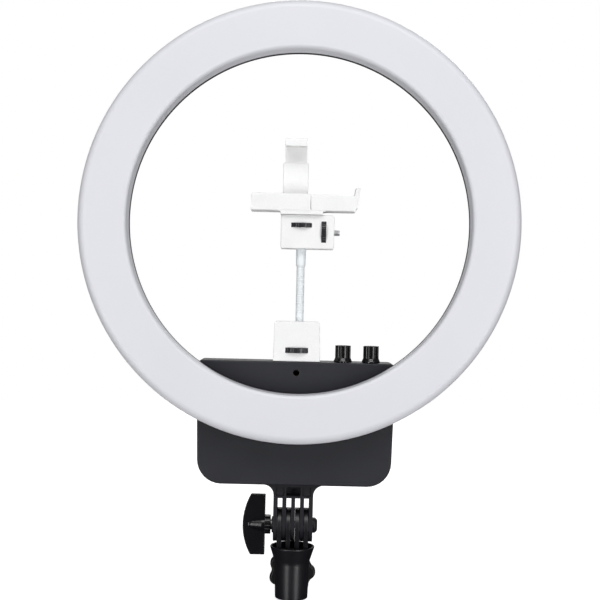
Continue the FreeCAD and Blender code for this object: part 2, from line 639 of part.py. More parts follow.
def led_group(radii, phase):
    """Square lamp packages on two circles."""
    lamps = []
    for radius in radii:
        for i in range(LEDS_PER_CIRCLE):
            lamp = block((radius - 2.5, -27.9, -2.5), (radius + 2.5, -27.0, 2.5))
            lamp.rotate(Vector(0, 0, 0), Y_AXIS, 360.0 * (i + phase) / LEDS_PER_CIRCLE)
            lamp.translate(Vector(0, 0, RING_CENTRE_Z))
            lamps.append(lamp)
    return lamps


# ---- phone holder -------------------------------------------------------------------
def thumb_wheel(centre, axis, radius, thick, bore_r):
    """Knurled wheel held captive in a block, fixed on its stud."""
    start = [centre[i] - axis[i] * thick / 2 for i in range(3)]
    wheel = rod(radius, start, thick, axis)
    wheel = fluted(wheel, start, axis, radius + 0.3, 44, 0.8, thick)
    return wheel.cut(rod(bore_r, start, thick, axis))


BASE_WHEEL_AT = (0.0, HOLDER_Y, 260.3)
SWIVEL_WHEEL_AT = (NECK_X, HOLDER_Y, 390.3)
SIDE_WHEEL_AT = (25.35, HOLDER_Y, 383.5)


def base_block():
    """White block that stands on the box and holds a captive screw and the foot of the neck."""
    low_z = BOX_TOP_Z + 0.2
    points = [(-24.4, low_z), (24.4, low_z), (23.3, BASE_TOP_Z), (-23.3, BASE_TOP_Z)]
    solid = prism([(x, HOLDER_Y - 12.5, z) for x, z in points], (0, 25, 0))
    solid = solid.makeFillet(3.0, edges_along(solid, Y_AXIS, lambda m: m.z > BASE_TOP_Z - 1))
    cuts = [
        rod(17.5, (0, HOLDER_Y, 256.4), 7.8, Z_AXIS),
        rod(QUARTER_INCH_R + 0.3, (0, HOLDER_Y, 240), 31, Z_AXIS),
        rod(NECK_R, (NECK_X, HOLDER_Y, 274), 20, Z_AXIS),
    ]
    return without(solid, cuts)


def base_stud():
    """Quarter-inch stud that screws into the top of the box."""
    return rod(QUARTER_INCH_R, (0, HOLDER_Y, 240.4), 30, Z_AXIS)


def neck_cup(joint_z, high_z):
    """Barrel of a neck link, with a round socket in its foot."""
    barrel = rod(NECK_R, (NECK_X, HOLDER_Y, joint_z - 1.6), high_z - joint_z + 1.6, Z_AXIS)
    return barrel.cut(Part.makeSphere(NECK_BALL_R + 0.1, Vector(NECK_X, HOLDER_Y, joint_z)))


def neck_ball(low_z, joint_z):
    """Ball on a short waist at the top of a neck link."""
    waist = rod(2.2, (NECK_X, HOLDER_Y, low_z), joint_z - low_z, Z_AXIS)
    return [waist, Part.makeSphere(NECK_BALL_R, Vector(NECK_X, HOLDER_Y, joint_z))]


def neck_root():
    """Foot of the bendable neck, fixed in the base block."""
    shoulder = NECK_JOINT_Z[0] - 3.6
    post = rod(NECK_R, (NECK_X, HOLDER_Y, 274), shoulder - 274, Z_AXIS)
    return joined([post] + neck_ball(shoulder - 0.5, NECK_JOINT_Z[0]))


def neck_link(lower, upper):
    """One link of the bendable neck, from a socket at one joint to a ball at the next."""
    shoulder = upper - 3.6
    return joined([neck_cup(lower, shoulder)] + neck_ball(shoulder - 0.5, upper))


def neck_tip():
    """Top of the neck: the last socket, the plain ferrule and the pin in the head block."""
    cup = neck_cup(NECK_JOINT_Z[-1], 350.0)
    ferrule = rod(4.7, (NECK_X, HOLDER_Y, 349.6), HEAD_BOTTOM_Z - 349.6, Z_AXIS)
    pin = rod(3.5, (NECK_X, HOLDER_Y, HEAD_BOTTOM_Z - 1), 16.2, Z_AXIS)
    return joined([cup, ferrule, pin])


def head_block():
    """White block at the top of the neck, with two captive thumb wheels in it."""
    solid = block((HEAD_LOW_X, HOLDER_Y - 12, HEAD_BOTTOM_Z), (HEAD_HIGH_X, HOLDER_Y + 12, HEAD_TOP_Z))
    solid = solid.makeFillet(2.0, edges_along(solid, Y_AXIS, lambda m: True))
    cuts = [
        rod(16.5, (NECK_X, HOLDER_Y, SWIVEL_WHEEL_AT[2] - 3.3), 6.6, Z_AXIS),
        rod(16.5, (22.0, HOLDER_Y, SIDE_WHEEL_AT[2]), 6.7, X_AXIS),
        rod(QUARTER_INCH_R + 0.3, (NECK_X, HOLDER_Y, 384), 30, Z_AXIS),
        rod(QUARTER_INCH_R + 0.3, (19, HOLDER_Y, SIDE_WHEEL_AT[2]), 30, X_AXIS),
        rod(3.5, (NECK_X, HOLDER_Y, HEAD_BOTTOM_Z - 1), 16.2, Z_AXIS),
    ]
    return without(solid, cuts)


def swivel_stud():
    """Quarter-inch stud that points up into the phone clamp."""
    return rod(QUARTER_INCH_R, (NECK_X, HOLDER_Y, 385), 25, Z_AXIS)


def side_stud():
    """Stud with a plain shank in the head block and a quarter-inch thread outside it, for an accessory."""
    shank = rod(SIDE_SHANK_R, (20, HOLDER_Y, SIDE_WHEEL_AT[2]), HEAD_HIGH_X - 20, X_AXIS)
    thread = rod(QUARTER_INCH_R, (HEAD_HIGH_X, HOLDER_Y, SIDE_WHEEL_AT[2]), 6.0, X_AXIS)
    tip = [e for e in thread.Edges if e.CenterOfMass.x > HEAD_HIGH_X + 5.9]
    return joined([shank, thread.makeChamfer(0.5, tip)])


SLEEVE_TOP_Z = 456.4
JAW_HALF_X = 11.4
JAW_LOW_Y = -0.1
JAW_HIGH_Y = 4.1
CLAMP_FRONT_Y = -22.0


def clamp_housing():
    """Left half of the clamp's ledge with the sleeve for the top jaw and the screw foot."""
    bar = block((-50.6, CLAMP_FRONT_Y, BAR_BOTTOM_Z), (10.6, 6.0, BAR_TOP_Z))
    foot = block((-19.9, -19, HEAD_TOP_Z + 0.2), (24.1, 5, BAR_BOTTOM_Z))
    sleeve = block((COLUMN_X - 13.2, -2.0, BAR_BOTTOM_Z), (COLUMN_X + 13.2, 6.0, SLEEVE_TOP_Z))
    ledge_cut = block((-51, CLAMP_FRONT_Y + 3, LEDGE_Z), (11, 7, BAR_TOP_Z + 1))
    solid = joined([bar.cut(ledge_cut), foot, sleeve])
    slot_low = (COLUMN_X - JAW_HALF_X - 0.2, JAW_LOW_Y - 0.2, 405.6)
    slot_high = (COLUMN_X + JAW_HALF_X + 0.2, JAW_HIGH_Y + 0.2, SLEEVE_TOP_Z + 1)
    cuts = [
        block(slot_low, slot_high),
        block((-36, -19.2, 407.0), (11, -11.8, 416.2)),
        rod(4.8, (NECK_X, HOLDER_Y, 399), 11.8, Z_AXIS),
    ]
    anchor = rod(1.0, (COLUMN_X, JAW_LOW_Y - 1, 408.2), 6, Y_AXIS)
    return without(solid, cuts).fuse(anchor).removeSplitter()


def clamp_insert_nut():
    """Brass bush with a quarter-inch thread in the clamp's foot."""
    bottom = HEAD_TOP_Z + 0.2
    return tube(4.8, QUARTER_INCH_R + 0.08, (NECK_X, HOLDER_Y, bottom), 410.8 - bottom, Z_AXIS)


def side_arm():
    """Right half of the ledge. It pulls out sideways on a tongue and ends in an upright lip."""
    arm = block((12.0, CLAMP_FRONT_Y, BAR_BOTTOM_Z + 0.3), (56.5, 4.0, BAR_TOP_Z - 0.8))
    arm = arm.cut(block((11, CLAMP_FRONT_Y + 3, LEDGE_Z), (56.6, 5, BAR_TOP_Z + 1)))
    tongue = block((-15, -19, 407.2), (12.5, -12, 416))
    foot_points = [(54.6, 404.9), (57.6, 404.9), (58.4, 408.3), (59.8, 408.3)]
    lip_points = foot_points + [(62.1, 430.2), (58.0, 430.2), (56.0, LEDGE_Z)]
    lip = prism([(x, CLAMP_FRONT_Y, z) for x, z in lip_points], (0, 26, 0))
    return joined([arm, tongue, lip])


def top_jaw():
    """Spring-loaded upper jaw: a forked plate in the sleeve with a hooked lip on top."""
    low_x, high_x = COLUMN_X - JAW_HALF_X, COLUMN_X + JAW_HALF_X
    plate = block((low_x, JAW_LOW_Y, 406.2), (high_x, JAW_HIGH_Y, JAW_TOP_Z))
    lip = block((low_x, -20, JAW_LIP_Z), (high_x, JAW_HIGH_Y, JAW_TOP_Z))
    nose = block((low_x, -20, JAW_LIP_Z - 2.8), (high_x, -17, JAW_TOP_Z))
    solid = joined([plate, lip, nose])
    solid = solid.makeFillet(1.6, edges_along(solid, X_AXIS, lambda m: m.z > JAW_TOP_Z - 0.1))
    return solid.cut(block((COLUMN_X - 3, -1, 405.5), (COLUMN_X + 3, 5, 452.2)))


def jaw_spring():
    """Tension spring between the housing's anchor pin and the jaw."""
    helix = Part.makeHelix(2.2, 39.6, 1.5)
    start = Vector(1.5, 0, 0)
    section = Part.Wire(Part.makeCircle(0.3, start, Y_AXIS))
    coil = Part.Wire(helix).makePipeShell([section], True, True)
    coil.translate(Vector(COLUMN_X, 2.0, 410.6))
    return coil


def jaw_pad():
    """Soft pad under the lip of the top jaw."""
    return block((COLUMN_X - 10, -16.4, JAW_LIP_Z - 1.2), (COLUMN_X + 10, -1, JAW_LIP_Z))


def ledge_pad():
    """Soft pad that the phone's edge stands on."""
    return block((-48, -18.2, LEDGE_Z), (9, -2.8, LEDGE_Z + 1.0))


# ---- every piece --------------------------------------------------------------------
PIECES = {
    "stand_socket": stand_socket(),
    "clamp_insert": clamp_insert(),
    "clamp_stud": clamp_stud(),
    "clamp_knob": clamp_knob(),
    "tilt_bracket": tilt_bracket(),
    "tilt_nut": tilt_nut(),
    "tilt_bolt": tilt_bolt(),
    "handle_washer": handle_washer(),
    "tilt_handle": tilt_handle(),
    "box_front_shell": box_front_shell(),
    "box_rear_cover": box_rear_cover(),
    "cover_screws": cover_screws(),
    "box_screws": box_screws(),
    "accessory_insert": accessory_insert(),
    "holder_insert": holder_insert(),
    "driver_board": driver_board(),
    "board_screws": board_screws(),
    "heat_sink": heat_sink(),
    "driver_coil": driver_coil(),
    "driver_capacitors": driver_capacitors(),
    "dc_jack": dc_jack(),
    "switch_housing": switch_housing(),
    "power_rocker": power_rocker(),
    "box_leads": box_leads(),
    "led_lead": led_lead(),
    "wire_grommet": wire_grommet(),
    "pot_nuts": pot_nuts(),
    "pot_washers": pot_washers(),
    "ring_diffuser": ring_diffuser(),
    "ring_housing": ring_housing(),
    "led_panel": led_panel(),
    "panel_screws": panel_screws(),
    "cool_leds": led_group((186.5, 204.5), 0.0),
    "warm_leds": led_group((195.5, 213.5), 0.5),
    "base_block": base_block(),
    "base_wheel": thumb_wheel(BASE_WHEEL_AT, Z_AXIS, 17.0, 7.0, QUARTER_INCH_R),
    "base_stud": base_stud(),
    "neck_root": neck_root(),
    "neck_tip": neck_tip(),
    "head_block": head_block(),
    "swivel_wheel": thumb_wheel(SWIVEL_WHEEL_AT, Z_AXIS, 16.0, 5.6, QUARTER_INCH_R),
    "swivel_stud": swivel_stud(),
    "side_wheel": thumb_wheel(SIDE_WHEEL_AT, X_AXIS, 16.0, 5.6, SIDE_SHANK_R),
    "side_stud": side_stud(),
    "clamp_housing": clamp_housing(),
    "clamp_insert_nut": clamp_insert_nut(),
    "side_arm": side_arm(),
    "top_jaw": top_jaw(),
    "jaw_spring": jaw_spring(),
    "jaw_pad": jaw_pad(),
    "ledge_pad": ledge_pad(),
}
for number, (lower, upper) in enumerate(zip(NECK_JOINT_Z, NECK_JOINT_Z[1:]), start=1):
    PIECES["neck_link_%d" % number] = neck_link(lower, upper)
for side_name, knob_x in KNOB_XS.items():
    PIECES[side_name + "_pot"] = dimmer_pot(knob_x)
    PIECES[side_name + "_shaft"] = dimmer_shaft(knob_x)
    PIECES[side_name + "_knob"] = dimmer_knob(knob_x)

os.makedirs("parts", exist_ok=True)
for name, piece in PIECES.items():
    shape = Part.makeCompound(piece) if isinstance(piece, list) else piece
    shape.exportStep("parts/" + name + ".step")
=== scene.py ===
import json
import math

import bmesh
import bpy
from mathutils import Matrix, Vector


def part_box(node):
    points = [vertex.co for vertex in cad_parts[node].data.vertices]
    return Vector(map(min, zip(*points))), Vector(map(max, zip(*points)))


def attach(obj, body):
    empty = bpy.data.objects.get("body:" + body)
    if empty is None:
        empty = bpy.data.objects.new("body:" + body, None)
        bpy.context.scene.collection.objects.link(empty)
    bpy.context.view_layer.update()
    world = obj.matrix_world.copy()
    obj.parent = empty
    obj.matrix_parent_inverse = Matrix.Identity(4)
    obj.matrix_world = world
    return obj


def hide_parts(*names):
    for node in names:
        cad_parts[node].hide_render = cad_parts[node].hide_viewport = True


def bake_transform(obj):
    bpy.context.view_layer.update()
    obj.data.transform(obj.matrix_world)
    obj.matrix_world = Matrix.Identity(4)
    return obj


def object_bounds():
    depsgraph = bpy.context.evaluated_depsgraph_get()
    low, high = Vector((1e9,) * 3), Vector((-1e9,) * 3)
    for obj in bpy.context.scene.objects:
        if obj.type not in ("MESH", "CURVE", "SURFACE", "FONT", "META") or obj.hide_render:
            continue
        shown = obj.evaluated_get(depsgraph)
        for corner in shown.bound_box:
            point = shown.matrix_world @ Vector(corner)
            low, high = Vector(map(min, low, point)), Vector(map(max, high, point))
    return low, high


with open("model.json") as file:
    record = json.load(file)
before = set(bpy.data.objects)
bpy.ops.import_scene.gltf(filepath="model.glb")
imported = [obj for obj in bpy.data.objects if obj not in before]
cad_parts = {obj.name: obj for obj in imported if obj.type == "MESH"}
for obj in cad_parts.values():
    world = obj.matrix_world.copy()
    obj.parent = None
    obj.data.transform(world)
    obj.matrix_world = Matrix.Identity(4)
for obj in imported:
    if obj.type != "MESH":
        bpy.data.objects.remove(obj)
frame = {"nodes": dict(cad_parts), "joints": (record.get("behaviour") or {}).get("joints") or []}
cad_box = [list(corner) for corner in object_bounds()]

# ---- studio ---------------------------------------------------------------------------
# The lamp is seen from straight in front, a little below its middle, in a white cove with a
# pale painted floor. A broad overhead softbox is the key, two tall ones at the sides put upright
# streaks of light on the black mouldings, and a weak one behind lights the back.
scene = bpy.context.scene
scene.view_settings.view_transform = "Standard"
lens = bpy.data.cameras.new("studio_camera")
lens.lens = 69.2
lens.sensor_width = 36
lens.clip_end = 50
camera = bpy.data.objects.new("studio_camera", lens)
camera.location = (0.0023, -1.213, 0.3126)
camera.rotation_euler = (math.radians(90), math.radians(-1.3), 0)
scene.collection.objects.link(camera)
scene.camera = camera


class Socket:
    """One output of a shader node. Sums on it are written as plain expressions."""

    def __init__(self, nodes, output):
        self.nodes = nodes
        self.output = output

    def math(self, operation, *values):
        return self.nodes.node("ShaderNodeMath", {"operation": operation}, dict(enumerate(values)))

    def __add__(self, other):
        return self.math("ADD", self, other)

    __radd__ = __add__

    def __sub__(self, other):
        return self.math("SUBTRACT", self, other)

    def __rsub__(self, other):
        return self.math("SUBTRACT", other, self)

    def __mul__(self, other):
        return self.math("MULTIPLY", self, other)

    def __pow__(self, other):
        return self.math("POWER", self, other)

    def __lt__(self, other):
        return self.math("LESS_THAN", self, other)

    def __gt__(self, other):
        return self.math("GREATER_THAN", self, other)

    def __abs__(self):
        return self.math("ABSOLUTE", self)


class Nodes:
    """A shader's nodes. node() adds one: its settings first, then its sockets' values or links."""

    def __init__(self, tree):
        self.tree = tree

    def node(self, kind, settings, sockets, out=0):
        made = self.tree.nodes.new(kind)
        for setting, value in settings.items():
            setattr(made, setting, value)
        for socket, value in sockets.items():
            if isinstance(value, Socket):
                self.tree.links.new(value.output, made.inputs[socket])
            else:
                made.inputs[socket].default_value = value
        return Socket(self, made.outputs[out])

    def feed(self, shader, socket, value):
        self.tree.links.new(value.output, shader.inputs[socket])


class Finish(Nodes):
    """A surface: fixed numbers sit on its shader, and nodes add what varies from place to place."""

    def __init__(self, name, **fixed):
        self.material = bpy.data.materials.new(name)
        self.material.use_nodes = True
        super().__init__(self.material.node_tree)
        self.shader = self.tree.nodes["Principled BSDF"]
        for socket, value in fixed.items():
            self.shader.inputs[socket.replace("_", " ")].default_value = value
        self.place = self.node("ShaderNodeTexCoord", {}, {}, "Object")

    def noise(self, size, detail=2.0, stretch=(1, 1, 1)):
        """Cloudy noise whose blotches are about one size across, in metres."""
        place = self.node("ShaderNodeMapping", {}, {"Vector": self.place, "Scale": stretch})
        return self.node("ShaderNodeTexNoise", {}, {"Vector": place, "Scale": 1 / size, "Detail": detail})

    def mix(self, factor, first, second):
        """A colour between two, each a colour or a link."""
        first = first if isinstance(first, Socket) else (*first, 1)
        second = second if isinstance(second, Socket) else (*second, 1)
        sockets = {"Factor": factor, 6: first, 7: second}
        return self.node("ShaderNodeMix", {"data_type": "RGBA"}, sockets, 2)

    def along(self, axis):
        """One coordinate of the place on the object, in metres."""
        return self.node("ShaderNodeSeparateXYZ", {}, {"Vector": self.place}, axis)

    def paint(self, colour):
        self.feed(self.shader, "Base Color", colour)

    def shine(self, roughness):
        self.feed(self.shader, "Roughness", roughness)

    def relief(self, height, depth):
        """A fine relief of a given depth in metres, from a height of 0 to 1."""
        bump = self.node("ShaderNodeBump", {}, {"Height": height, "Distance": depth, "Strength": 1.0})
        self.feed(self.shader, "Normal", bump)


def softbox(name, place, aim, width, height, power):
    light = bpy.data.lights.new(name, "AREA")
    light.shape = "RECTANGLE"
    light.size = width
    light.size_y = height
    light.energy = power
    item = bpy.data.objects.new(name, light)
    item.location = place
    item.rotation_euler = (Vector(aim) - Vector(place)).to_track_quat("-Z", "Y").to_euler()
    item.visible_camera = False
    scene.collection.objects.link(item)


softbox("overhead_softbox", (0, -1.5, 1.9), (0, 0, 0.4), 2.0, 1.0, 31)
softbox("rear_softbox", (0.3, 1.9, 1.5), (0, 0, 0.3), 1.6, 0.8, 16)
softbox("left_softbox", (-0.98, -1.5, 0.0), (0, 0, 0.1), 0.4, 1.3, 13)
softbox("right_softbox", (0.98, -1.5, 0.0), (0, 0, 0.1), 0.4, 1.3, 15)
# Two very broad lights stand for what the cove throws back. They don't show as reflections.
for tilt, power in ((60, 0.06), (125, 0.26)):
    bounce_light = bpy.data.lights.new("cove_bounce", "SUN")
    bounce_light.angle = math.radians(140)
    bounce_light.energy = power
    bounce = bpy.data.objects.new("cove_bounce", bounce_light)
    bounce.rotation_euler = (math.radians(tilt), 0, 0)
    bounce.visible_camera = False
    bounce.visible_glossy = False
    scene.collection.objects.link(bounce)

world = bpy.data.worlds.new("white_cove")
scene.world = world
world.use_nodes = True
cove = Nodes(world.node_tree)
seen = cove.node("ShaderNodeLightPath", {}, {}, "Is Camera Ray")
way = cove.node("ShaderNodeTexCoord", {}, {}, "Generated")
upward = cove.node("ShaderNodeSeparateXYZ", {}, {"Vector": way}, "Z")
backward = cove.node("ShaderNodeSeparateXYZ", {}, {"Vector": way}, "Y")
to_the_sky = {"Value": upward, "From Min": -0.25, "From Max": 0.3, "To Min": 0.1, "To Max": 1.0}
sky = cove.node("ShaderNodeMapRange", {}, to_the_sky)
to_the_lens = {"Value": backward, "From Min": -0.85, "From Max": -0.35, "To Min": 0.02, "To Max": 1.0}
wall = cove.node("ShaderNodeMapRange", {}, to_the_lens)
COVE_STRENGTH = 0.15
background = world.node_tree.nodes["Background"]
background.inputs["Color"].default_value = (1, 1, 1, 1)
cove.feed(background, "Strength", seen + (1 - seen) * sky * wall * COVE_STRENGTH)

floor_finish = Finish(
    "pale_floor", Roughness=0.9, Specular_IOR_Level=0.1, Emission_Color=(1, 1, 1, 1), Emission_Strength=0.7
)
floor_finish.paint(floor_finish.mix(floor_finish.noise(0.4), (0.96, 0.96, 0.96), (0.99, 0.99, 0.99)))
MM = 0.001
FLOOR_DROP, FLOOR_R, FLOOR_NEAR = 0.5 * MM, 1.3, -0.07
mesh = bmesh.new()
floor_spot = Matrix.Translation((0, FLOOR_NEAR + FLOOR_R, cad_box[0][2] - FLOOR_DROP))
bmesh.ops.create_circle(mesh, cap_ends=True, segments=96, radius=FLOOR_R, matrix=floor_spot)
floor_data = bpy.data.meshes.new("studio_floor")
mesh.to_mesh(floor_data)
mesh.free()
floor_data.materials.append(floor_finish.material)
floor = bpy.data.objects.new("studio_floor", floor_data)
scene.collection.objects.link(floor)
floor.visible_glossy = False

# ---- ring diffuser --------------------------------------------------------------------
# The face of the lamp: one deep ring-shaped channel of milky polycarbonate, drawn with a broad
# soft outer edge and a tighter inner one. It slips over the black tray's lip and snaps on.
X_AXIS, Y_AXIS, Z_AXIS = Vector((1, 0, 0)), Vector((0, 1, 0)), Vector((0, 0, 1))
RING_BAND = 50 * MM
RING_WALL = 2.5 * MM
low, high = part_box("ring_diffuser")
RING_CENTRE = Vector((0, 0, (low.z + high.z) / 2))
RING_R = (high.x - low.x) / 2
RING_FRONT, RING_SEAM = low.y, high.y


def outline(mesh, corners, place):
    """A flat face through (across, up, corner radius) points, with each corner rounded."""
    points = [place(across, up) for across, up, _radius in corners]
    spots = [mesh.verts.new(point) for point in points]
    mesh.faces.new(spots)
    for i, (_across, _up, radius) in enumerate(corners):
        if radius:
            back = points[i - 1] - points[i]
            ahead = points[(i + 1) % len(points)] - points[i]
            bmesh.ops.bevel(
                mesh, geom=[spots[i]], offset=radius / math.tan(back.angle(ahead) / 2), offset_type="OFFSET",
                segments=3 if radius < 1 * MM else 8, profile=0.5, affect="VERTICES", material=-1,
            )


def tidied(mesh):
    """Merges doubled corners, drops loose edges and points every face outwards."""
    bmesh.ops.remove_doubles(mesh, verts=mesh.verts[:], dist=0.002 * MM)
    bmesh.ops.dissolve_degenerate(mesh, dist=0.002 * MM, edges=mesh.edges[:])
    loose = [edge for edge in mesh.edges if not edge.link_faces]
    bmesh.ops.delete(mesh, geom=loose, context="EDGES")
    bmesh.ops.recalc_face_normals(mesh, faces=mesh.faces[:])
    return mesh


def turned(corners, centre, axis, across, steps):
    """A round solid: an outline of (radius, height, corner radius) points spun about an axis."""
    mesh = bmesh.new()
    outline(mesh, corners, lambda radius, height: centre + across * radius + axis * height)
    bmesh.ops.delete(mesh, geom=mesh.faces[:], context="FACES_ONLY")
    bmesh.ops.spin(
        mesh, geom=mesh.verts[:] + mesh.edges[:], cent=centre, axis=axis,
        angle=2 * math.pi, steps=steps, use_merge=True,
    )
    return tidied(mesh)


def piece(name, mesh, finish, body, slot, *nodes):
    """A finished piece that rides on a body and stands for its CAD nodes."""
    data = bpy.data.meshes.new(name)
    mesh.to_mesh(data)
    mesh.free()
    data.shade_smooth()
    data.set_sharp_from_angle(angle=math.radians(40))
    data.materials.append(finish.material)
    item = bpy.data.objects.new(name, data)
    scene.collection.objects.link(item)
    item.modifiers.new("even_shading", "WEIGHTED_NORMAL").keep_sharp = True
    if body:
        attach(item, body)
    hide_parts(*nodes)
    return item


milk = Finish("milky_polycarbonate", Roughness=0.42, Specular_IOR_Level=0.35)
haze = milk.noise(0.11, 3.0)
fleck = milk.noise(1.1 * MM, 2.0)
milk.paint(milk.mix(haze, (0.63, 0.635, 0.675), (0.66, 0.665, 0.70)))
milk.shine(0.36 + haze * 0.1 + fleck * 0.05)
milk.relief(fleck, 0.012 * MM)
inner_r = RING_R - RING_BAND
channel = [
    (RING_R, RING_SEAM, 0.3 * MM),
    (RING_R, RING_FRONT, 9 * MM),
    (inner_r, RING_FRONT, 4 * MM),
    (inner_r, RING_SEAM, 0.3 * MM),
    (inner_r + RING_WALL, RING_SEAM, 0),
    (inner_r + RING_WALL, RING_FRONT + RING_WALL, 2 * MM),
    (RING_R - RING_WALL, RING_FRONT + RING_WALL, 6.5 * MM),
    (RING_R - RING_WALL, RING_SEAM, 0),
]
mesh = turned(channel, RING_CENTRE, Y_AXIS, X_AXIS, 256)
piece("diffuser_channel", mesh, milk, "light_head", "diffuser_milk", "ring_diffuser")

# ---- ring tray and its screws ---------------------------------------------------------
# Shallow black tray behind the lamps, injection moulded with an eroded grain. A thin lip takes
# the diffuser, two fine grooves stiffen its back, and ten screws hold the lamp panel in it.
LIP_OUT, LIP_IN, LIP_STANDS = 2.7 * MM, 4.2 * MM, 3 * MM
GROOVE_WIDTH, GROOVE_DEPTH = 1.2 * MM, 0.5 * MM
back_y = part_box("ring_housing")[1].y
tray = [(RING_R, RING_SEAM, 0.3 * MM), (RING_R, back_y, 2 * MM)]
for groove_r in (RING_R - 14 * MM, RING_R - 38 * MM):
    for edge_r, depth in ((0.5, 0), (0.4, 1), (-0.4, 1), (-0.5, 0)):
        tray.append((groove_r + edge_r * GROOVE_WIDTH, back_y - depth * GROOVE_DEPTH, 0))
tray += [
    (inner_r, back_y, 2 * MM),
    (inner_r, RING_SEAM, 0.3 * MM),
    (inner_r + LIP_OUT, RING_SEAM, 0),
    (inner_r + LIP_OUT, RING_SEAM - LIP_STANDS, 0.4 * MM),
    (inner_r + LIP_IN, RING_SEAM - LIP_STANDS, 0.4 * MM),
    (inner_r + LIP_IN, back_y - RING_WALL, 0),
    (RING_R - LIP_IN, back_y - RING_WALL, 0),
    (RING_R - LIP_IN, RING_SEAM - LIP_STANDS, 0.4 * MM),
    (RING_R - LIP_OUT, RING_SEAM - LIP_STANDS, 0.4 * MM),
    (RING_R - LIP_OUT, RING_SEAM, 0),
]


def moulded(name, colour, roughness, grain, depth, **fixed):
    """Moulded plastic: an eroded grain, and a faint cloudiness in its colour and its shine."""
    finish = Finish(name, **fixed)
    cloud = finish.noise(0.03, 3.0)
    speck = finish.noise(grain, 3.0)
    dark = [channel * 0.88 for channel in colour]
    light = [channel * 1.12 for channel in colour]
    finish.paint(finish.mix(cloud * 0.6 + speck * 0.4, dark, light))
    finish.shine(roughness - 0.08 + cloud * 0.1 + speck * 0.06)
    finish.relief(speck, depth)
    return finish


ring_black = moulded("ring_black_plastic", (0.022, 0.022, 0.025), 0.52, 0.5 * MM, 0.05 * MM)
mesh = turned(tray, RING_CENTRE, Y_AXIS, X_AXIS, 256)
piece("lamp_tray", mesh, ring_black, "light_head", "ring_black", "ring_housing")


def metal(name, colour, roughness, grain, depth, stretch=(1, 1, 1)):
    """Worked metal: fine tool lines, a little stain in its colour and an uneven shine."""
    finish = Finish(name, Metallic=1.0)
    line = finish.noise(grain, 2.0, stretch)
    stain = finish.noise(6 * MM, 3.0)
    dark = [channel * 0.8 for channel in colour]
    finish.paint(finish.mix(stain, dark, colour))
    finish.shine(roughness - 0.1 + line * 0.12 + stain * 0.1)
    finish.relief(line, depth)
    return finish


def refined(name, node, edge, finish, body, slot):
    """A merged copy of a CAD node whose sharp edges are broken."""
    mesh = bmesh.new()
    mesh.from_mesh(frame["nodes"][node].data)
    bmesh.ops.remove_doubles(mesh, verts=mesh.verts[:], dist=0.005 * MM)
    bmesh.ops.dissolve_limit(mesh, angle_limit=math.radians(1), verts=mesh.verts[:], edges=mesh.edges[:])
    rounded(mesh, edge, 2, 35)
    return piece(name, mesh, finish, body, slot, node)


def rounded(mesh, width, segments, sharper, keep=lambda edge: True):
    """Rounds the closed edges that are sharper than an angle in degrees and pass a test."""
    chosen = []
    for edge in mesh.edges:
        if edge.is_manifold and edge.calc_face_angle(0) > math.radians(sharper) and keep(edge):
            chosen.append(edge)
    bmesh.ops.bevel(
        mesh, geom=chosen, offset=width, offset_type="OFFSET", segments=segments, profile=0.5,
        affect="EDGES", clamp_overlap=True, material=-1,
    )
    return mesh


screw_black = metal("black_oxide_steel", (0.07, 0.07, 0.075), 0.42, 0.3 * MM, 0.01 * MM)
refined("tray_screws", "panel_screws", 0.12 * MM, screw_black, "light_head", "screw_black")

# ---- lamp panel -----------------------------------------------------------------------
# Ring-shaped aluminium board with white solder mask, and two colours of surface lamps in four
# circles. Each lamp is a small square of yellow or amber phosphor, soldered flat.
white_mask = Finish("white_solder_mask", Roughness=0.4)
mask_cloud = white_mask.noise(8 * MM, 3.0)
white_mask.paint(white_mask.mix(mask_cloud, (0.80, 0.80, 0.77), (0.87, 0.87, 0.85)))
white_mask.relief(white_mask.noise(0.4 * MM), 0.01 * MM)


def clad(finish, *nodes):
    """Gives CAD nodes that are shown as they are their finish."""
    for node in nodes:
        data = frame["nodes"][node].data
        data.materials.clear()
        data.materials.append(finish.material)


def phosphor(name, colour):
    """A lamp package: glossy phosphor with fine grit in it."""
    finish = Finish(name, Roughness=0.25)
    grit = finish.noise(0.35 * MM, 2.0)
    pale = [0.6 * channel + 0.38 for channel in colour]
    finish.paint(finish.mix(grit, colour, pale))
    finish.relief(grit, 0.01 * MM)
    return finish


clad(white_mask, "led_panel")
clad(phosphor("cool_phosphor", (0.88, 0.83, 0.38)), "cool_leds")
clad(phosphor("warm_phosphor", (0.90, 0.56, 0.16)), "warm_leds")

# ---- control box, front shell ---------------------------------------------------------
# Front half of the box behind the ring: charcoal ABS with a fine eroded grain, wider at the top
# than at the foot. Posts inside it take the cover's screws and the circuit board.
BOX_FOOT_Z, BOX_TOP_Z = 120.7 * MM, 248.6 * MM
BOX_FOOT_X, BOX_TOP_X = 100 * MM, 103 * MM
BOX_FOOT_R, BOX_SHOULDER_R = 25 * MM, 6 * MM
BOX_WALL = 2.5 * MM
low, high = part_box("box_front_shell")
BOX_FRONT, BOX_SEAM = low.y, high.y
HOLDER_Y = -6 * MM
RIGHT_SCREWS = [(92 * MM, 224 * MM), (91 * MM, 180 * MM), (80 * MM, 136 * MM)]
COVER_SCREWS = [(side * x, z) for side in (-1, 1) for x, z in RIGHT_SCREWS]
BOARD_POSTS = [(side * 64 * MM, z) for side in (-1, 1) for z in (150 * MM, 212 * MM)]
KNOB_XS = {"left": 48.4 * MM, "right": 77.7 * MM}
KNOB_Y = -8 * MM
LEAD_HOLE_Z = 190.6 * MM
BUSH_R, SCREW_HOLE_R = 4.8 * MM, 2.1 * MM


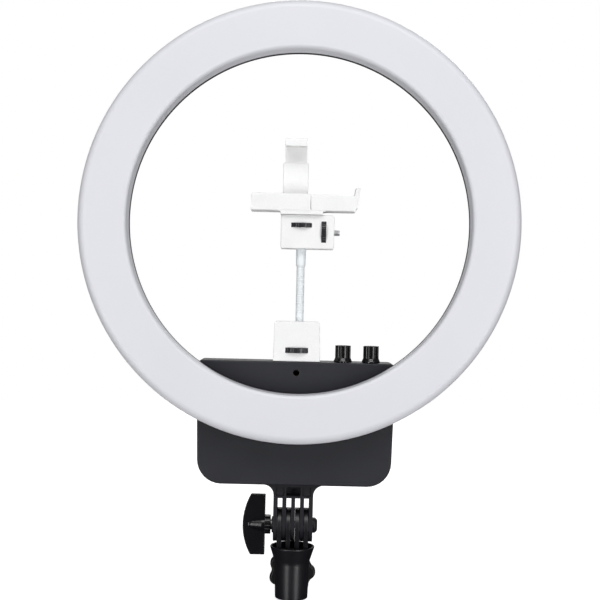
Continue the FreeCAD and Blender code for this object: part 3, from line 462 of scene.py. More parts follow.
def pushed(corners, place, vector):
    """A prism: an outline of (across, up, corner radius) points pushed along a vector."""
    mesh = bmesh.new()
    outline(mesh, corners, place)
    made = bmesh.ops.extrude_face_region(mesh, geom=mesh.faces[:])
    moved = [part for part in made["geom"] if isinstance(part, bmesh.types.BMVert)]
    bmesh.ops.translate(mesh, vec=vector, verts=moved)
    return tidied(mesh)


def facing(y):
    """Places an outline of (across, up) points on the upright plane at one depth."""
    return lambda across, up: Vector((across, y, up))


def rod(radius, start, vector, steps=40):
    """A plain round bar from a start point along a vector."""
    start, vector = Vector(start), Vector(vector)
    mesh = bmesh.new()
    turn = vector.to_track_quat("Z", "Y").to_matrix().to_4x4()
    bmesh.ops.create_cone(
        mesh, cap_ends=True, segments=steps, radius1=radius, radius2=radius, depth=vector.length,
        matrix=Matrix.Translation(start + vector / 2) @ turn,
    )
    return mesh


def gathered(meshes):
    """Several separate closed meshes as one."""
    whole = meshes[0]
    for mesh in meshes[1:]:
        data = bpy.data.meshes.new("gathered")
        mesh.to_mesh(data)
        mesh.free()
        whole.from_mesh(data)
        bpy.data.meshes.remove(data)
    return whole


def carved(mesh, tool, operation="DIFFERENCE"):
    """A closed mesh cut by another, or joined with it."""
    pair = []
    for part in (mesh, tool):
        data = bpy.data.meshes.new("carving")
        part.to_mesh(data)
        part.free()
        item = bpy.data.objects.new("carving", data)
        scene.collection.objects.link(item)
        pair.append(item)
    work = pair[0].modifiers.new("carving", "BOOLEAN")
    work.operation = operation
    work.solver = "EXACT"
    work.use_self = False
    work.object = pair[1]
    whole = bmesh.new()
    whole.from_object(pair[0], bpy.context.evaluated_depsgraph_get())
    for item in pair:
        data = item.data
        bpy.data.objects.remove(item)
        bpy.data.meshes.remove(data)
    bmesh.ops.dissolve_limit(whole, angle_limit=math.radians(0.5), verts=whole.verts[:], edges=whole.edges[:])
    return tidied(whole)


def box_outline(inset):
    """The control box seen from the front, pulled in by an inset."""
    foot_r, shoulder_r = BOX_FOOT_R - inset, BOX_SHOULDER_R - inset
    foot_x, top_x = BOX_FOOT_X - inset, BOX_TOP_X - inset
    foot_z, top_z = BOX_FOOT_Z + inset, BOX_TOP_Z - inset
    return [
        (-foot_x, foot_z, foot_r), (foot_x, foot_z, foot_r),
        (top_x, top_z, shoulder_r), (-top_x, top_z, shoulder_r),
    ]


def flat_at(y):
    """Picks the edges that lie on the upright plane at one depth."""
    return lambda edge: all(abs(vert.co.y - y) < 0.02 * MM for vert in edge.verts)


inner_y = BOX_FRONT + BOX_WALL
mesh = pushed(box_outline(0), facing(BOX_FRONT), (0, BOX_SEAM - BOX_FRONT, 0))
rounded(mesh, 1.6 * MM, 4, 60, flat_at(BOX_FRONT))
rounded(mesh, 0.35 * MM, 1, 60, flat_at(BOX_SEAM))
hollow = pushed(box_outline(BOX_WALL), facing(inner_y), (0, BOX_SEAM - inner_y + 1 * MM, 0))
mesh = carved(mesh, hollow)
post_long = BOX_SEAM - inner_y - 1.5 * MM
posts = [rod(4 * MM, (x, inner_y - 1 * MM, z), (0, post_long, 0), 24) for x, z in COVER_SCREWS]
posts += [rod(3.4 * MM, (x, inner_y - 1 * MM, z), (0, 9.5 * MM, 0), 24) for x, z in BOARD_POSTS]
accessory_z = (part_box("accessory_insert")[0].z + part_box("accessory_insert")[1].z) / 2
bush_post = rod(6.5 * MM, (0, inner_y - 1 * MM, accessory_z), (0, 7.5 * MM, 0))
posts.append(carved(bush_post, rod(BUSH_R, (0, inner_y + 0.02 * MM, accessory_z), (0, 9 * MM, 0))))
holder_post = rod(6.5 * MM, (0, HOLDER_Y, BOX_TOP_Z - 10 * MM), (0, 0, 9 * MM))
posts.append(carved(holder_post, rod(BUSH_R, (0, HOLDER_Y, BOX_TOP_Z - 11 * MM), (0, 0, 12 * MM))))
mesh = carved(mesh, gathered(posts), "UNION")
ring_screw_r = RING_R - RING_BAND / 2
holes = [
    rod(3.3 * MM, (0, BOX_FRONT - 1 * MM, accessory_z), (0, 5 * MM, 0)),
    rod(BUSH_R, (0, HOLDER_Y, BOX_TOP_Z - 4 * MM), (0, 0, 6 * MM)),
    rod(6 * MM, (0, BOX_FRONT - 1 * MM, LEAD_HOLE_Z), (0, 5 * MM, 0)),
]
holes += [rod(3.6 * MM, (x, KNOB_Y, BOX_TOP_Z - 5 * MM), (0, 0, 10 * MM)) for x in KNOB_XS.values()]
holes += [rod(1.4 * MM, (x, 2 * MM, z), (0, 12 * MM, 0), 16) for x, z in COVER_SCREWS]
holes += [rod(1.2 * MM, (x, -15 * MM, z), (0, 8 * MM, 0), 16) for x, z in BOARD_POSTS]
holes += [rod(SCREW_HOLE_R, (x * MM, 0, BOX_FOOT_Z - 1 * MM), (0, 0, 5 * MM), 16) for x in (-15, -5, 5, 15)]
for turn in (-24, -10, 10, 24):
    x = ring_screw_r * math.sin(math.radians(turn))
    z = RING_CENTRE.z - ring_screw_r * math.cos(math.radians(turn))
    holes.append(rod(SCREW_HOLE_R, (x, BOX_FRONT - 1 * MM, z), (0, 6 * MM, 0), 16))
mesh = carved(mesh, gathered(holes))
charcoal = moulded("charcoal_abs", (0.0155, 0.016, 0.021), 0.5, 0.45 * MM, 0.04 * MM, Specular_IOR_Level=0.33)
piece("box_front_case", mesh, charcoal, "light_head", "shell_charcoal", "box_front_shell")

# ---- control box, rear cover ----------------------------------------------------------
# Lid of the box in the same charcoal ABS. It has a rounded rim, two fields of cooling slots, a
# snap-in opening for the switch, a hole for the supply inlet and six sunk screws.
back_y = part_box("box_rear_cover")[1].y
SWITCH_X, SWITCH_Z = 34 * MM, 150 * MM
JACK_X, JACK_Z = -34 * MM, 150 * MM


def block(low, high):
    """A box from its lowest to its highest corner."""
    low, high = Vector(low), Vector(high)
    mesh = bmesh.new()
    size = Matrix.Diagonal((*(high - low), 1))
    bmesh.ops.create_cube(mesh, size=1, matrix=Matrix.Translation((low + high) / 2) @ size)
    return mesh


mesh = pushed(box_outline(0), facing(BOX_SEAM), (0, back_y - BOX_SEAM, 0))
rounded(mesh, 3 * MM, 6, 60, flat_at(back_y))
rounded(mesh, 0.35 * MM, 1, 60, flat_at(BOX_SEAM))
inner_y = back_y - BOX_WALL
hollow = pushed(box_outline(BOX_WALL), facing(BOX_SEAM - 1 * MM), (0, inner_y - BOX_SEAM + 1 * MM, 0))
mesh = carved(mesh, hollow)
lip = pushed(box_outline(BOX_WALL + 0.3 * MM), facing(BOX_SEAM - 2.5 * MM), (0, 6 * MM, 0))
lip = carved(lip, pushed(box_outline(BOX_WALL + 1.8 * MM), facing(BOX_SEAM - 3 * MM), (0, 8 * MM, 0)))
posts = [rod(4 * MM, (x, BOX_SEAM - 1.4 * MM, z), (0, 8 * MM, 0), 24) for x, z in COVER_SCREWS]
mesh = carved(mesh, lip, "UNION")
mesh = carved(mesh, gathered(posts), "UNION")
holes = [rod(1.7 * MM, (x, 5 * MM, z), (0, 20 * MM, 0), 16) for x, z in COVER_SCREWS]
holes.append(rod(5.6 * MM, (JACK_X, 5 * MM, JACK_Z), (0, 20 * MM, 0)))
switch_half = Vector((9.6 * MM, 10 * MM, 6.6 * MM))
switch_spot = Vector((SWITCH_X, 15 * MM, SWITCH_Z))
holes.append(block(switch_spot - switch_half, switch_spot + switch_half))
SLOT_LONG, SLOT_TALL, SLOT_PITCH = 44 * MM, 2.6 * MM, 9 * MM
for row in range(5):
    for side in (-1, 1):
        left, foot = side * 38 * MM - SLOT_LONG / 2, 176 * MM + SLOT_PITCH * row
        right, top = left + SLOT_LONG, foot + SLOT_TALL
        ends = ((left, foot), (right, foot), (right, top), (left, top))
        slot = [(x, z, SLOT_TALL * 0.49) for x, z in ends]
        holes.append(pushed(slot, facing(15 * MM), (0, 10 * MM, 0)))
mesh = carved(mesh, gathered(holes))
sinks = [rod(3.4 * MM, (x, back_y - 3 * MM, z), (0, 4 * MM, 0), 24) for x, z in COVER_SCREWS]
mesh = carved(mesh, gathered(sinks))
rounded(mesh, 0.3 * MM, 2, 60, flat_at(back_y))
piece("box_rear_case", mesh, charcoal, "light_head", "shell_charcoal", "box_rear_cover")
refined("case_screws", "cover_screws", 0.12 * MM, screw_black, "light_head", "screw_black")
clad(screw_black, "box_screws", "board_screws")

# ---- power switch and supply inlet ----------------------------------------------------
# A snap-in rocker switch and a round barrel inlet, both semi-gloss black nylon with metal inside.
# The rocker is printed with a white bar and ring for on and off, and rocks inside the frame.
gloss_nylon = moulded("semi_gloss_nylon", (0.012, 0.012, 0.013), 0.3, 0.8 * MM, 0.01 * MM)
refined("switch_frame", "switch_housing", 0.25 * MM, gloss_nylon, "light_head", "switch_black")
refined("supply_inlet", "dc_jack", 0.2 * MM, gloss_nylon, "light_head", "switch_black")

rocker_print = moulded("printed_rocker", (0.012, 0.012, 0.013), 0.28, 0.8 * MM, 0.01 * MM)
across = rocker_print.along("X")
up = rocker_print.along("Z") - SWITCH_Z
bar = (abs(across - (SWITCH_X + 4.4 * MM)) < 0.35 * MM) * (abs(up) < 1.9 * MM)
ring_x = across - (SWITCH_X - 4.4 * MM)
from_ring = (ring_x * ring_x + up * up) ** 0.5
ring = abs(from_ring - 1.6 * MM) < 0.3 * MM
outside = rocker_print.along("Y") > 20 * MM
plain = rocker_print.shader.inputs["Base Color"].links[0].from_socket
printed = rocker_print.mix((bar + ring) * outside, Socket(rocker_print, plain), (0.75, 0.75, 0.73))
rocker_print.paint(printed)
refined("rocker_button", "power_rocker", 0.5 * MM, rocker_print, "power_rocker", "switch_black")

# ---- driver electronics ---------------------------------------------------------------
# What dims and feeds the lamps, screwed down inside the box: a green fibreglass board with a
# copper choke, three sleeved capacitors, an extruded heat sink and red wire pairs.
board = Finish("green_solder_mask", Roughness=0.35)
cells = {"Vector": board.place, "Scale": 160}
track = board.node("ShaderNodeTexVoronoi", {"feature": "DISTANCE_TO_EDGE"}, cells)
on_track = (track < 0.08) * 1.0
board.paint(board.mix(on_track, (0.012, 0.14, 0.055), (0.03, 0.24, 0.10)))
board.relief(on_track, 0.04 * MM)
clad(board, "driver_board")
clad(metal("extruded_aluminium", (0.76, 0.76, 0.78), 0.35, 0.5 * MM, 0.01 * MM, (1, 1, 0.05)), "heat_sink")
copper = Finish("enamelled_copper", Metallic=0.9, Roughness=0.3)
winding = copper.node("ShaderNodeTexWave", {}, {"Vector": copper.place, "Scale": 900.0, "Distortion": 0.4})
copper.paint(copper.mix(winding, (0.45, 0.18, 0.07), (0.80, 0.42, 0.22)))
copper.relief(winding, 0.2 * MM)
clad(copper, "driver_coil")
clad(moulded("shrink_sleeve", (0.03, 0.04, 0.13), 0.3, 2 * MM, 0.01 * MM), "driver_capacitors")
clad(moulded("red_wire_sleeve", (0.35, 0.02, 0.02), 0.4, 1 * MM, 0.02 * MM), "box_leads", "led_lead")
clad(moulded("black_rubber", (0.02, 0.02, 0.02), 0.7, 0.5 * MM, 0.03 * MM), "wire_grommet")
brass = metal("turned_brass", (0.72, 0.52, 0.24), 0.3, 0.25 * MM, 0.01 * MM, (1, 1, 0.2))
clad(brass, "accessory_insert", "holder_insert", "clamp_insert", "clamp_insert_nut")

# ---- dimmers --------------------------------------------------------------------------
# Two rotary dimmers on top of the box. Each glossy black knob is moulded with deep grip flutes
# and a sloping skirt, has a painted pointer line and is pressed on a potentiometer's shaft.
steel = metal("zinc_plated_steel", (0.62, 0.62, 0.64), 0.32, 0.3 * MM, 0.01 * MM)
clad(steel, "left_shaft", "right_shaft", "left_pot", "right_pot", "pot_nuts", "pot_washers")
FLUTES = 18
KNOB_R, SKIRT_R = 8.1 * MM, 9.5 * MM
FLUTE_DEEP = 0.7 * MM


def fluted_bar(radius, depth, flutes, start, vector, share=0.5):
    """A bar with grip flutes: every few points of its rim are drawn in."""
    start, vector = Vector(start), Vector(vector)
    per_flute = 6
    mesh = bmesh.new()
    turn = vector.to_track_quat("Z", "Y").to_matrix().to_4x4()
    spot = Matrix.Translation(start) @ turn
    bmesh.ops.create_circle(mesh, cap_ends=True, segments=flutes * per_flute, radius=radius, matrix=spot)
    for i, vert in enumerate(mesh.verts):
        step = (i % per_flute) / per_flute
        if step < share:
            pull = math.sin(math.pi * step / share) * depth / radius
            vert.co = vert.co.lerp(start, pull)
    made = bmesh.ops.extrude_face_region(mesh, geom=mesh.faces[:])
    moved = [part for part in made["geom"] if isinstance(part, bmesh.types.BMVert)]
    bmesh.ops.translate(mesh, vec=vector, verts=moved)
    return tidied(mesh)


def at_height(z):
    """Picks the edges that lie level at one height."""
    return lambda edge: all(abs(vert.co.z - z) < 0.02 * MM for vert in edge.verts)


for side, knob_x in KNOB_XS.items():
    low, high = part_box(side + "_knob")
    grip_foot = low.z + 4.1 * MM
    grip = fluted_bar(KNOB_R, FLUTE_DEEP, FLUTES, (knob_x, KNOB_Y, grip_foot), (0, 0, high.z - grip_foot))
    rounded(grip, 0.45 * MM, 3, 60, at_height(high.z))
    centre = Vector((knob_x, KNOB_Y, low.z))
    skirt = [
        (6.6 * MM, 0, 0), (SKIRT_R, 0, 0.4 * MM), (SKIRT_R, 0.9 * MM, 0.4 * MM), (KNOB_R, 4.3 * MM, 1.5 * MM),
        (KNOB_R - 0.9 * MM, 4.8 * MM, 0), (0, 4.8 * MM, 0), (0, 4.2 * MM, 0), (6.6 * MM, 4.2 * MM, 0),
    ]
    mesh = carved(grip, turned(skirt, centre, Z_AXIS, X_AXIS, 72), "UNION")
    glossy = moulded(
        side + "_knob_gloss", (0.004, 0.004, 0.005), 0.24, 1.5 * MM, 0.006 * MM, Specular_IOR_Level=0.35
    )
    across = glossy.along("X") - knob_x
    deep = glossy.along("Y") - KNOB_Y
    pointer = (abs(across) < 0.45 * MM) * (deep < -2.5 * MM) * (glossy.along("Z") > high.z - 0.2 * MM)
    dot_up = glossy.along("Z") - (low.z + 2.6 * MM)
    from_dot = (across * across + dot_up * dot_up) ** 0.5
    ring_mark = (abs(from_dot - 1.25 * MM) < 0.32 * MM) * (deep < 0)
    plain = glossy.shader.inputs["Base Color"].links[0].from_socket
    glossy.paint(glossy.mix(pointer + ring_mark, Socket(glossy, plain), (0.09, 0.09, 0.09)))
    piece(side + "_dimmer_knob", mesh, glossy, side + "_dimmer", "knob_black", side + "_knob")

# ---- tilt bracket ---------------------------------------------------------------------
# Black glass-filled nylon moulding screwed under the box: a cored block that flares into the
# box's foot, and five hinge fins that mesh with the four on the stand socket.
PIVOT = Vector((0, 0, 76.3 * MM))
FIN_R, FIN_PITCH = 17 * MM, 9.27 * MM
UPPER_FIN, LOWER_FIN, LOWER_FIN_R = 4.1 * MM, 5.0 * MM, 17.9 * MM
BLOCK_FOOT, BLOCK_X, FLARE_R = 106.7 * MM, 20.6 * MM, 10.6 * MM


def sideways(x):
    """Places an outline of (depth, up) points on the upright plane at one distance across."""
    return lambda across, up: Vector((x, across, up))


def fin(x, thick, radius, foot_z, foot_half, edge):
    """A hinge fin: a leaf with a round end about the pivot and softened edges."""
    way = math.copysign(1, PIVOT.z - foot_z)
    leaf = [
        (-foot_half, foot_z, 0), (foot_half, foot_z, 0), (radius, PIVOT.z - way * 4 * MM, 0),
        (radius, PIVOT.z + way * radius, radius * 0.98), (-radius, PIVOT.z + way * radius, radius * 0.98),
        (-radius, PIVOT.z - way * 4 * MM, 0),
    ]
    mesh = pushed(leaf, sideways(x - thick / 2), (thick, 0, 0))
    rounded(mesh, edge, 3, 60, lambda edge: abs(edge.verts[0].co.x - edge.verts[1].co.x) < thick / 2)
    return carved(mesh, rod(4.3 * MM, (x - thick, 0, PIVOT.z), (2 * thick, 0, 0)))


flare_top = BOX_FOOT_Z
flare = [
    (-BLOCK_X, BLOCK_FOOT, 1 * MM), (BLOCK_X, BLOCK_FOOT, 1 * MM),
    (BLOCK_X, flare_top - 0.4 * MM, FLARE_R), (BLOCK_X + FLARE_R + 0.4 * MM, flare_top - 0.4 * MM, 0),
    (BLOCK_X + FLARE_R + 0.4 * MM, flare_top, 0), (-BLOCK_X - FLARE_R - 0.4 * MM, flare_top, 0),
    (-BLOCK_X - FLARE_R - 0.4 * MM, flare_top - 0.4 * MM, 0), (-BLOCK_X, flare_top - 0.4 * MM, FLARE_R),
]
mesh = pushed(flare, facing(-FIN_R), (0, 2 * FIN_R, 0))
rounded(mesh, 0.5 * MM, 2, 60, flat_at(-FIN_R))
rounded(mesh, 0.5 * MM, 2, 60, flat_at(FIN_R))
fins = []
for step in range(-2, 3):
    fins.append(fin(step * FIN_PITCH, UPPER_FIN, FIN_R, BLOCK_FOOT + 1 * MM, FIN_R, 0.4 * MM))
mesh = carved(mesh, gathered(fins), "UNION")
boss = rod(8.5 * MM, (-22.1 * MM, 0, PIVOT.z), (2.5 * MM, 0, 0), 64)
rounded(boss, 0.5 * MM, 2, 60, lambda edge: edge.verts[0].co.x < -22 * MM and edge.verts[1].co.x < -22 * MM)
boss = carved(boss, rod(4.3 * MM, (-25 * MM, 0, PIVOT.z), (8 * MM, 0, 0)))
mesh = carved(mesh, boss, "UNION")
pockets = []
foot, top = BLOCK_FOOT + 2.1 * MM, flare_top - 2.6 * MM
for low_x, high_x, floor_y in ((-18.7, -9.2, 14.5), (-7.5, 7.5, 4.0), (9.2, 18.7, 14.5)):
    low_x, high_x = low_x * MM, high_x * MM
    hollow = [(low_x, foot, 1 * MM), (high_x, foot, 1 * MM), (high_x, top, 0), (low_x, top, 0)]
    for side in (-1, 1):
        start, end = side * (FIN_R + 1 * MM), side * floor_y * MM
        pockets.append(pushed(hollow, facing(start), (0, end - start, 0)))
mesh = carved(mesh, gathered(pockets))
bracket_black = moulded(
    "glass_filled_nylon", (0.0105, 0.0105, 0.014), 0.42, 0.6 * MM, 0.03 * MM, Specular_IOR_Level=0.3
)
piece("hinge_bracket", mesh, bracket_black, "light_head", "bracket_black", "tilt_bracket")

# ---- tilt bolt, nut and washer --------------------------------------------------------
# The clamp bolt runs through all nine fins. A domed black nut sits against the right-hand fin,
# with the bolt's bright end in it, and a plated washer lies under the handle's collar.
nut_dome = [
    (4.06 * MM, 20.6 * MM, 0), (8.0 * MM, 20.6 * MM, 0), (8.0 * MM, 23.4 * MM, 2.2 * MM),
    (5.2 * MM, 25.8 * MM, 0.8 * MM), (4.06 * MM, 25.4 * MM, 0),
]
mesh = turned(nut_dome, PIVOT, X_AXIS, Z_AXIS, 72)
piece("domed_nut", mesh, bracket_black, "light_head", "bracket_black", "tilt_nut")
refined("clamp_bolt", "tilt_bolt", 0.4 * MM, steel, "tilt_handle", "steel")
refined("plated_washer", "handle_washer", 0.15 * MM, steel, "handle_washer", "steel")

# ---- tilt handle ----------------------------------------------------------------------
# Hand nut with one crescent-shaped wing, moulded over the bolt's head in satin black nylon. Its
# bullet-shaped hub swells out of the wing, and a ribbed collar meets the washer.
WING_IN, WING_OUT, WING_SHOULDER, WING_HALF = -29.1 * MM, -52.6 * MM, -44.2 * MM, 31.5 * MM
WING_THICK = 8 * MM
bow = (WING_HALF ** 2 + (WING_SHOULDER - WING_OUT) ** 2) / (2 * (WING_SHOULDER - WING_OUT))
half_turn = math.asin(WING_HALF / bow)
wing = [(WING_IN, PIVOT.z + WING_HALF, 0.8 * MM)]
BOW_POINTS = 25
for i in range(BOW_POINTS):
    turn = half_turn * (1 - 2 * i / (BOW_POINTS - 1))
    end_round = 1.2 * MM if i in (0, BOW_POINTS - 1) else 0
    wing.append((WING_OUT + bow * (1 - math.cos(turn)), PIVOT.z + bow * math.sin(turn), end_round))
wing.append((WING_IN, PIVOT.z - WING_HALF, 0.8 * MM))
mesh = pushed(wing, facing(-WING_THICK / 2), (0, WING_THICK, 0))
rounded(mesh, 2.2 * MM, 5, 50, flat_at(-WING_THICK / 2))
rounded(mesh, 2.2 * MM, 5, 50, flat_at(WING_THICK / 2))
hub = [
    (0, 1.2 * MM, 0), (2.6 * MM, 1.8 * MM, 2 * MM), (5.6 * MM, 8.5 * MM, 14 * MM),
    (8.0 * MM, 20 * MM, 4 * MM), (8.0 * MM, 24 * MM, 0), (0, 24 * MM, 0),
]
tip = Vector((WING_OUT, 0, PIVOT.z))
mesh = carved(mesh, turned(hub, tip, X_AXIS, Z_AXIS, 64), "UNION")
collar = fluted_bar(10 * MM, 0.7 * MM, 18, (WING_IN - 0.3 * MM, 0, PIVOT.z), (6.1 * MM, 0, 0))
rounded(collar, 0.4 * MM, 2, 60, lambda edge: abs(edge.verts[0].co.x - edge.verts[1].co.x) < 1 * MM)
mesh = carved(mesh, collar, "UNION")
bolt_room = [
    (0, -36 * MM, 0), (6 * MM, -36 * MM, 0), (6 * MM, -31 * MM, 0),
    (4 * MM, -31 * MM, 0), (4 * MM, -21 * MM, 0), (0, -21 * MM, 0),
]
mesh = carved(mesh, turned(bolt_room, PIVOT, X_AXIS, Z_AXIS, 40))
handle_black = moulded(
    "satin_handle_nylon", (0.004, 0.004, 0.005), 0.24, 0.9 * MM, 0.02 * MM, Specular_IOR_Level=0.4
)
piece("crescent_handle", mesh, handle_black, "tilt_handle", "bracket_black", "tilt_handle")

# ---- stand socket ---------------------------------------------------------------------
# Cup that drops over a light stand's spigot, moulded in satin black nylon. Four hinge fins rise
# from a shallow dish inside its flared rim, and a brass bush in its boss takes the clamp screw.
FOOT_R, WAIST_R, WAIST_Z, RIM_R, RIM_Z, DISH_Z = [size * MM for size in (17.1, 18.3, 38, 23.2, 54.4, 47)]
BORE_R, BORE_DEEP = 8.1 * MM, 40 * MM
cup = [
    (BORE_R, 0, 0.5 * MM), (FOOT_R, 0, 1.2 * MM), (WAIST_R, WAIST_Z, 14 * MM),
    (RIM_R, RIM_Z - 1.2 * MM, 0.4 * MM), (RIM_R, RIM_Z, 0.5 * MM), (RIM_R - 1.6 * MM, RIM_Z, 0.4 * MM),
    (18 * MM, DISH_Z, 2 * MM), (0, DISH_Z, 0),
    (0, BORE_DEEP, 0), (BORE_R, BORE_DEEP, 0.5 * MM),
]
mesh = turned(cup, Vector((0, 0, 0)), Z_AXIS, X_AXIS, 128)
fins = []
for step in (-1.5, -0.5, 0.5, 1.5):
    fins.append(fin(step * FIN_PITCH, LOWER_FIN, LOWER_FIN_R, DISH_Z - 1 * MM, 12 * MM, 0.7 * MM))
mesh = carved(mesh, gathered(fins), "UNION")
CLAMP_Z = 20 * MM
clamp_line = Vector((0, 0, CLAMP_Z))
boss = [(0, 12 * MM, 0), (9 * MM, 12 * MM, 0), (9 * MM, 22 * MM, 0.8 * MM), (0, 22 * MM, 0)]
mesh = carved(mesh, turned(boss, clamp_line, Y_AXIS, X_AXIS, 48), "UNION")
bush_room = [
    (0, 5 * MM, 0), (4.5 * MM, 5 * MM, 0), (4.5 * MM, 10 * MM, 0),
    (6 * MM, 10 * MM, 0), (6 * MM, 25 * MM, 0), (0, 25 * MM, 0),
]
mesh = carved(mesh, turned(bush_room, clamp_line, Y_AXIS, X_AXIS, 40))
socket_black = moulded(
    "satin_socket_nylon", (0.004, 0.004, 0.006), 0.38, 1.2 * MM, 0.012 * MM, Specular_IOR_Level=0.45
)
piece("spigot_cup", mesh, socket_black, "stand_socket", "socket_black", "stand_socket")

# ---- clamp screw and star knob --------------------------------------------------------
# The screw that pinches the spigot: a plated stud with a seven-lobed black nylon knob moulded on
# it. The lobes are rounded for the hand, and a hub stands proud of both faces.
low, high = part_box("clamp_knob")
LOBES, LOBE_TURN = 7, math.radians(-2)
KNOB_ROOT_R, LOBE_R, LOBE_REACH = 21.8 * MM, 7.5 * MM, 17.9 * MM
knob_front, knob_back = low.y + 3 * MM, low.y + 15 * MM
mesh = bmesh.new()
upright = Matrix.Translation((0, knob_front, CLAMP_Z)) @ Matrix.Rotation(math.radians(90), 4, "X")
bmesh.ops.create_circle(mesh, cap_ends=True, segments=LOBES * 20, radius=1.0, matrix=upright)
hub_spot = Vector((0, knob_front, CLAMP_Z))
for vert in mesh.verts:
    way = vert.co - hub_spot
    lobe = 2 * math.pi / LOBES
    off = (math.atan2(way.z, way.x) - LOBE_TURN + lobe / 2) % lobe - lobe / 2
    bulge = LOBE_REACH * math.cos(off) + math.sqrt(max(0, LOBE_R ** 2 - (LOBE_REACH * math.sin(off)) ** 2))
    vert.co = hub_spot + way * (KNOB_ROOT_R ** 30 + bulge ** 30) ** (1 / 30)
made = bmesh.ops.extrude_face_region(mesh, geom=mesh.faces[:])
moved = [part for part in made["geom"] if isinstance(part, bmesh.types.BMVert)]
bmesh.ops.translate(mesh, vec=(0, knob_back - knob_front, 0), verts=moved)
tidied(mesh)
rounded(mesh, 2.4 * MM, 5, 60, flat_at(knob_front))
rounded(mesh, 2.4 * MM, 5, 60, flat_at(knob_back))
hub = [(0, 0, 0), (10 * MM, 0, 0.8 * MM), (10 * MM, 20 * MM, 1.5 * MM), (0, 20 * MM, 0)]
mesh = carved(mesh, turned(hub, Vector((0, low.y, CLAMP_Z)), Y_AXIS, X_AXIS, 56), "UNION")
mesh = carved(mesh, rod(4.0 * MM, (0, low.y - 1 * MM, CLAMP_Z), (0, 16 * MM, 0)))
knob_black = moulded(
    "star_knob_nylon", (0.007, 0.007, 0.008), 0.4, 0.8 * MM, 0.03 * MM, Specular_IOR_Level=0.3
)
piece("star_knob", mesh, knob_black, "clamp_knob", "bracket_black", "clamp_knob")
refined("clamp_screw_stud", "clamp_stud", 0.2 * MM, steel, "clamp_screw", "steel")

# ---- holder base ----------------------------------------------------------------------
# White ABS block that stands on the box and carries the gooseneck. A black knurled wheel, held
# captive in a slot, turns the steel stud that screws the whole holder down.
low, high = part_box("base_block")
NECK_X = 2.2 * MM
base_outline = [
    (low.x, low.z, 0.8 * MM), (high.x, low.z, 0.8 * MM),
    (23.3 * MM, high.z, 3 * MM), (-23.3 * MM, high.z, 3 * MM),
]
mesh = pushed(base_outline, facing(low.y), (0, high.y - low.y, 0))
rounded(mesh, 1.4 * MM, 4, 60, flat_at(low.y))
rounded(mesh, 1.4 * MM, 4, 60, flat_at(high.y))
base_wheel_at = (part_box("base_wheel")[0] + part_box("base_wheel")[1]) / 2
for cut in (
    rod(17.2 * MM, base_wheel_at - 2.85 * MM * Z_AXIS, 5.7 * MM * Z_AXIS, 96),
    rod(3.5 * MM, (0, HOLDER_Y, 240 * MM), (0, 0, 31 * MM)),
    rod(4.0 * MM, (NECK_X, HOLDER_Y, 274 * MM), (0, 0, 20 * MM), 48),
):
    mesh = carved(mesh, cut)
holder_white = moulded("white_abs", (0.80, 0.80, 0.803), 0.38, 1.5 * MM, 0.01 * MM)
piece("base_foot", mesh, holder_white, "holder_base", "holder_white", "base_block")


def thumb_wheel(name, node, radius, thick, axis, bore, body):
    """A knurled captive wheel: a fluted rim with both its edges broken."""
    low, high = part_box(node)
    centre = (low + high) / 2
    mesh = fluted_bar(radius, 0.75 * MM, 40, centre - axis * thick / 2, axis * thick, 0.45)
    rounded(mesh, 0.3 * MM, 2, 60, lambda edge: abs((edge.verts[0].co - edge.verts[1].co).dot(axis)) < 1 * MM)
    mesh = carved(mesh, rod(bore, centre - axis * thick, axis * thick * 2))
    return piece(name, mesh, wheel_black, body, "wheel_black", node)


wheel_black = moulded("knurled_wheel_nylon", (0.02, 0.02, 0.023), 0.32, 0.6 * MM, 0.02 * MM)
thumb_wheel("base_thumb_wheel", "base_wheel", 16.9 * MM, 5.3 * MM, Z_AXIS, 3.175 * MM, "base_wheel")
refined("base_wheel_stud", "base_stud", 0.25 * MM, steel, "base_wheel", "steel")

# ---- gooseneck ------------------------------------------------------------------------
# Bendable neck: an interlocked steel hose, coated white, with a fine rib at every turn. It runs
# from the base block into a plain ferrule under the head block, here in four lengths end to end.
NECK_FOOT_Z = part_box("base_block")[1].z - 2 * MM
NECK_TOP_Z = 350 * MM
JOINTS = [joint for joint in frame["joints"] if joint["name"].startswith("neck_")]
JOINT_ZS = [joint["pos_m"][2] for joint in JOINTS]
ENDS = [NECK_FOOT_Z] + [(a + b) / 2 for a, b in zip(JOINT_ZS, JOINT_ZS[1:])] + [NECK_TOP_Z]
NECK_R, RIB_PITCH, RIB_DEEP, RIB_POINTS = 4.3 * MM, 1.85 * MM, 0.42 * MM, 8
neck_axis = Vector((NECK_X, HOLDER_Y, 0))
neck_white = moulded("white_coated_hose", (0.74, 0.78, 0.80), 0.34, 1.2 * MM, 0.01 * MM)
REPLACED = ["neck_root", "neck_link_1", "neck_link_2", "neck_link_3"]
for number, (foot, top) in enumerate(zip(ENDS, ENDS[1:])):
    steps = round((top - foot) / RIB_PITCH) * RIB_POINTS
    hose = [(0, foot, 0)]
    for i in range(steps + 1):
        dip = (0.5 + 0.5 * math.cos(2 * math.pi * i / RIB_POINTS)) ** 2
        hose.append((NECK_R - RIB_DEEP * dip, foot + (top - foot) * i / steps, 0))
    hose.append((0, top, 0))
    mesh = turned(hose, neck_axis, Z_AXIS, X_AXIS, 40)
    name = "gooseneck_hose_%d" % (number + 1)
    length = piece(name, mesh, neck_white, None, "neck_white", REPLACED[number])
    length.modifiers.clear()
    reach = min(JOINT_ZS[number] - foot, top - JOINT_ZS[number]) * 0.8
    start = (NECK_X, HOLDER_Y, JOINT_ZS[number] - reach)
    JOINT_ZS[number] + reach
    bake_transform(length)

